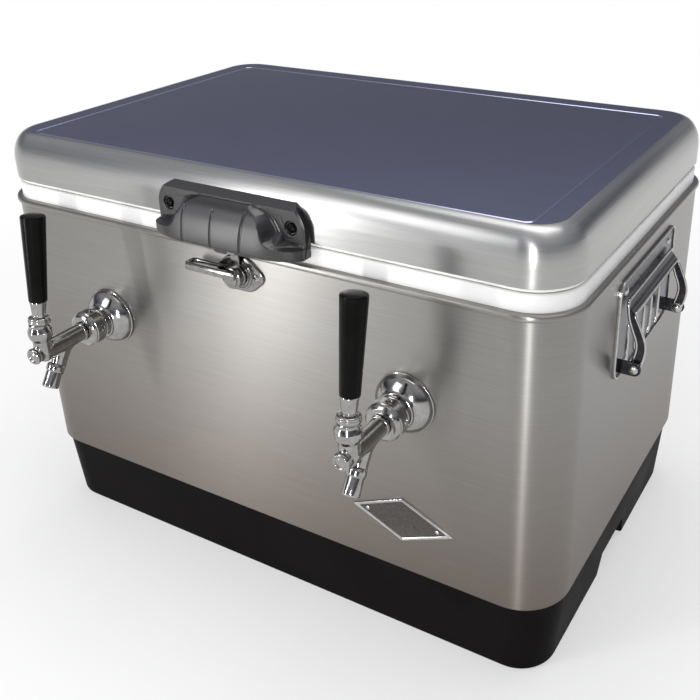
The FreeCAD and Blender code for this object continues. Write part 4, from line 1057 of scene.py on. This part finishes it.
sideHandle = SimpleNamespace(
    plateHalf=80.0,
    plateLow=250.0,
    plateHigh=343.0,
    plateCorner=12.0,
    # the plate's section as (inset, height): bright rim, then the field, darkened by painted reflection
    rim=((0.0, 0.0), (0.0, 2.0), (0.3, 2.7), (0.9, 3.0), (1.5, 2.7), (1.8, 2.0)),
    field=((1.8, 2.0), (2.0, 1.4), (2.8, 1.2)),
    ribs=(-47.0, -23.0, -1.0, 21.0, 45.0),
    ribLow=253.5,
    ribHigh=292.0,
    ribRadius=1.7,
    armPlane=65.0,
    earPlane=67.3,
    earThick=2.0,
    pivotOut=15.0,
    pivotZ=262.5,
    railRadius=1.25,
    earRound=6.5,
    # each rail of the bail: points up its arm, then its place on the strap, as (out, z)
    outer=((
        (18.9, 264.0), (21.2, 272.0), (22.2, 280.5), (21.0, 288.5), (17.2, 298.0), (13.4, 306.0), (11.6, 309.6),
    ), (10.9, 312.4)),
    inner=((
        (11.4, 264.0), (13.4, 272.0), (14.8, 280.5), (13.8, 288.0), (10.2, 297.0), (6.6, 307.0), (5.0, 317.0),
    ), (4.4, 322.4)),
    strapRun=(-59.0, -25.0, 25.0, 59.0),
    turnAt=63.4,
    armIn=0.7,
    armOut=0.5,
    eye=((2.6, -1.9), (5.3, -1.9, 0.5), (5.3, 1.9, 0.5), (2.6, 1.9)),
    webRun=(-40.0, -15.0, 15.0, 40.0),
    # section of the folded strap as (out, z)
    web=(
        (4.0, 322.4), (5.8, 318.6), (7.6, 315.8), (10.6, 312.8), (11.2, 309.6), (10.0, 306.4),
        (9.1, 307.0), (10.0, 309.8), (9.6, 312.0), (6.8, 314.8), (4.9, 318.0), (3.3, 321.6),
    ),
)


def onSide(sign, out, y, z):
    return at(sign * (side + out), y, z)


def handlePlate(name, sign):
    # pressed plate: bright rolled rim, field with its ribs, and an ear for each end of the bail; the field and the
    # ears are darkened as painted reflection
    form = bmesh.new()
    middle = (sideHandle.plateLow + sideHandle.plateHigh) / 2
    rise = (sideHandle.plateHigh - sideHandle.plateLow) / 2

    def ring(inset, height):
        half = sideHandle.plateHalf - inset
        tall = rise - inset
        corner = sideHandle.plateCorner - inset
        points = [(half, tall, corner), (-half, tall, corner), (-half, -tall, corner), (half, -tall, corner)]
        return [onSide(sign, height, a, middle + b) for a, b in roundCorners(points, steps=8)]

    rim = loft(form, [ring(*step) for step in sideHandle.rim])
    form.faces.new(rim[0])
    field = loft(form, [ring(*step) for step in sideHandle.field], finish=1)
    form.faces.new(field[-1]).material_index = 1
    for y in sideHandle.ribs:
        lean = -1 if y > 0 else 1
        spine = [(y, sideHandle.ribHigh), (y, mix(sideHandle.ribLow, sideHandle.ribHigh, 0.5))]
        spine += [(y + lean * 0.6, sideHandle.ribLow + 6), (y + lean * 3.4, sideHandle.ribLow)]
        path = curvePath([onSide(sign, 1.3, a, b) for a, b in spine], 6)
        swell = [math.sin(math.pi * i / (len(path) - 1)) ** 0.4 for i in range(len(path))]
        sweep(form, path, [sideHandle.ribRadius * mix(0.35, 1.0, part) for part in swell], steps=14)
    half = sideHandle.earRound
    reach = sideHandle.pivotOut + half
    corners = [(0.4, -half), (reach, -half, half - 0.1), (reach, half, half - 0.1), (0.4, half)]
    outline = roundCorners(corners, steps=8)
    for end in (-1, 1):

        def place(a, b, height):
            return onSide(sign, a, end * sideHandle.earPlane + end * height, sideHandle.pivotZ + b)

        extrude(form, outline, place, sideHandle.earThick, finish=1)
    finishes = [pressedSteel, darkReflectionSteel]
    replaced = ["handle_plate_" + name.lower()]
    makePiece("handlePlate" + name, form, finishes, "chest", replaced, bevel=0.3, segments=2)


def handleBail(name, sign, body):
    # folded bail: a web between two rolled rails that run up one arm, along the strap and down the other; the web and
    # the arms' faces are darkened as painted reflection
    form = bmesh.new()
    plane = sideHandle.armPlane
    edges = []
    for arm, strap in (sideHandle.outer, sideHandle.inner):
        near = [onSide(sign, out, -plane, z) for out, z in arm]
        far = [onSide(sign, out, plane, z) for out, z in arm]
        top = [onSide(sign, strap[0], y, strap[1]) for y in sideHandle.strapRun]
        out, z = mix(arm[-1][0], strap[0], 0.7), mix(arm[-1][1], strap[1], 0.72)
        turn = [onSide(sign, out, y, z) for y in (-sideHandle.turnAt, sideHandle.turnAt)]
        path = curvePath(near + turn[:1] + top + turn[1:] + far[::-1], 7)
        sweep(form, path, [sideHandle.railRadius] * len(path), steps=14)
        edges.append(curvePath([at(out, 0, z) for out, z in arm], 6))
    for end in (-1, 1):
        rings = []
        for outer, inner in zip(*edges):
            back, face = plane - sideHandle.armIn, plane + sideHandle.armOut
            corners = ((outer, back), (outer, face), (inner, face), (inner, back))
            rings.append([onSide(sign, point.x, end * y, point.z) for point, y in corners])
        loft(form, rings, capped=True, finish=1)
        pivot = onSide(sign, sideHandle.pivotOut, end * plane, sideHandle.pivotZ)
        spin(sideHandle.eye, pivot, at(0, end, 0), form, steps=40, looped=True)
    rings = []
    for y in (-plane, *sideHandle.webRun, plane):
        rings.append([onSide(sign, out, y, z) for out, z in sideHandle.web])
    loft(form, rings, capped=True, finish=1)
    finishes = [pressedSteel, darkReflectionSteel]
    makePiece("handleBail" + name, form, finishes, body, ["handle_bail_" + name.lower()], sharp=40)


for handleName, handleSign in (("Left", -1), ("Right", 1)):
    handlePlate(handleName, handleSign)
    handleBail(handleName, handleSign, handleName.lower() + "_bail")
print("side handles made")


# badge

badge = SimpleNamespace(
    x=160.0,
    z=134.0,
    half=51.5,
    rise=23.0,
    # the rim's section as (inset, height)
    rim=((0.0, 0.0), (0.0, 0.8), (0.4, 1.4), (1.2, 1.6), (2.0, 1.5), (2.7, 1.0), (3.0, 0.9)),
)


def badgePlate():
    # long bare diamond with a bright rim
    form = bmesh.new()
    half, rise = badge.half, badge.rise
    outline = roundCorners([(half, 0, 1.0), (0, rise, 2.0), (-half, 0, 1.0), (0, -rise, 2.0)])
    rings = []
    for inset, height in badge.rim:
        share = 1 - inset * (math.hypot(half, rise) / (half * rise))
        rings.append([at(badge.x + share * a, front - height, badge.z + share * b) for a, b in outline])
    rows = loft(form, rings)
    form.faces.new(rows[0])
    form.faces.new(rows[-1]).material_index = 1
    makePiece("badgePlate", form, [pressedSteel, badgeFace], "chest", ["badge_plate"], sharp=50)


badgePlate()
print("badge made")


# floor, lamps and camera

floorLook = SimpleNamespace(
    rings=((0.0, 0.0), (2.0, 0.0), (4.5, 0.0), (5.4, 0.06), (6.2, 0.25), (6.8, 0.55)),  # metres: radius, height
    dark="#F4F4F3",
    light="#F7F7F6",
    cloudsPerMetre=1.5,
    whiteFrom=(0.4, 0.45),  # metres from the chest, share of plain white
    whiteTo=(1.15, 1.0),
)


def studioFloor():
    # matt painted sweep that rises far behind and around the chest
    form = bmesh.new()
    turns = [math.tau * i / 96 for i in range(96)]
    rings = []
    for radius, height in floorLook.rings:
        rings.append([at(radius * math.cos(a) * 1000, radius * math.sin(a) * 1000, height * 1000) for a in turns])
    loft(form, rings)
    bmesh.ops.remove_doubles(form, verts=form.verts, dist=0.5)
    floor = setDown(form, "floor")
    finish, add, place = newFinish("paintedStudioFloor")
    cloud = add("TexNoise", {"Scale": floorLook.cloudsPerMetre, "Detail": 3.0, "Vector": place})["Fac"]
    stops = ((0.3, floorLook.dark), (0.7, floorLook.light))
    colour = add("ValToRGB", {"stops": stops, "Fac": cloud})["Color"]
    paint = add("BsdfPrincipled", {"Roughness": 0.8, "Base Color": colour})[0]
    # away from the chest the sweep is plain white, to the eye and in the metal alike; near it the shadow stays
    away = add("VectorMath", {"operation": "LENGTH", 0: place})["Value"]
    settings = dict(zip(("From Min", "To Min"), floorLook.whiteFrom))
    settings.update(zip(("From Max", "To Max"), floorLook.whiteTo))
    share = add("MapRange", {**settings, "Value": away})[0]
    path = add("LightPath")
    seen = add("Math", {"operation": "ADD", 0: path["Is Camera Ray"], 1: path["Is Glossy Ray"]})[0]
    settings = {"operation": "ADD", "use_clamp": True, 0: seen, 1: path["Is Transmission Ray"]}
    share = add("Math", {"operation": "MULTIPLY", 0: add("Math", settings)[0], 1: share})[0]
    white = add("Emission", {"Color": linear("#FFFFFF"), "Strength": 1.0})[0]
    add("OutputMaterial", {"Surface": add("MixShader", {0: share, 1: paint, 2: white})[0]})
    floor.data.materials.append(finish)


room = SimpleNamespace(
    strength=0.85,
    # colour by the height of the look: pale low down, slate wall above it, bright ceiling
    stops=(
        (0.0, "#FFFFFF"), (0.05, "#FFFFFF"), (0.14, "#5E606A"), (0.26, "#686A75"),
        (0.36, "#9294A0"), (0.56, "#C4C5CB"), (1.0, "#E0E0E2"),
    ),
)


def studioRoom():
    world = bpy.data.worlds.new("studioRoom")
    bpy.context.scene.world = world
    world.use_nodes = True
    world.node_tree.nodes.clear()
    add = partial(addNode, world.node_tree)
    height = add("SeparateXYZ", {0: add("TexCoord")["Generated"]})[2]
    colour = add("ValToRGB", {"stops": room.stops, "Fac": height})["Color"]
    walls = add("Background", {"Strength": room.strength, "Color": colour})[0]
    # a level view looks past the sweep, on to plain white
    white = add("Background", {"Color": linear("#FFFFFF"), "Strength": 1.0})[0]
    seen = add("LightPath")["Is Camera Ray"]
    add("OutputWorld", {"Surface": add("MixShader", {0: seen, 1: walls, 2: white})[0]})


# place and target in metres, width and depth in metres, watts
lamps = {
    "frontSoftbox": ((-1.2, -2.1, 1.9), (0.0, 0.0, 0.25), 1.0, 1.1, 14.0),
    "overheadSoftbox": ((0.1, 0.4, 2.6), (0.0, 0.0, 0.2), 2.0, 1.4, 26.0),
    "leftStrip": ((-0.84, -1.42, 0.42), (0.0, -0.2, 0.3), 0.05, 0.8, 7.0),
    "rightStrip": ((0.86, -2.1, 0.6), (0.28, -0.15, 0.25), 0.07, 0.8, 18.0),
}


def lamp(name, place, target, width, depth, watts):
    light = bpy.data.lights.new(name, "AREA")
    light.shape = "RECTANGLE"
    light.size = width
    light.size_y = depth
    light.energy = watts
    holder = inScene(name, light)
    holder.location = place
    holder.rotation_euler = (Vector(target) - Vector(place)).to_track_quat("-Z", "Y").to_euler()


view = SimpleNamespace(
    place=(0.4966, -0.7536, 0.6649),  # metres
    turns=(30.2, 24.8, -0.9),  # azimuth, elevation, roll
    lens=47.93,
    shift=(-0.0863, -0.0999),
)


def camera():
    glass = bpy.data.cameras.new("camera")
    holder = inScene("camera", glass)
    azimuth, elevation, roll = [math.radians(angle) for angle in view.turns]
    ahead = at(-math.sin(azimuth) * math.cos(elevation), math.cos(azimuth) * math.cos(elevation), -math.sin(elevation))
    right = at(math.cos(azimuth), math.sin(azimuth), 0)
    up = right.cross(ahead)
    across = right * math.cos(roll) + up * math.sin(roll)
    above = up * math.cos(roll) - right * math.sin(roll)
    turn = Matrix((across, above, -ahead)).transposed().to_4x4()
    holder.matrix_world = Matrix.Translation(view.place) @ turn
    glass.sensor_width = 36.0
    glass.lens = view.lens
    glass.shift_x, glass.shift_y = view.shift
    glass.clip_start = 0.01
    glass.clip_end = 50.0
    bpy.context.scene.camera = holder


studioFloor()
studioRoom()
for lampName, values in lamps.items():
    lamp(lampName, *values)
camera()
bpy.context.scene.view_settings.view_transform = "Standard"
print("studio made")
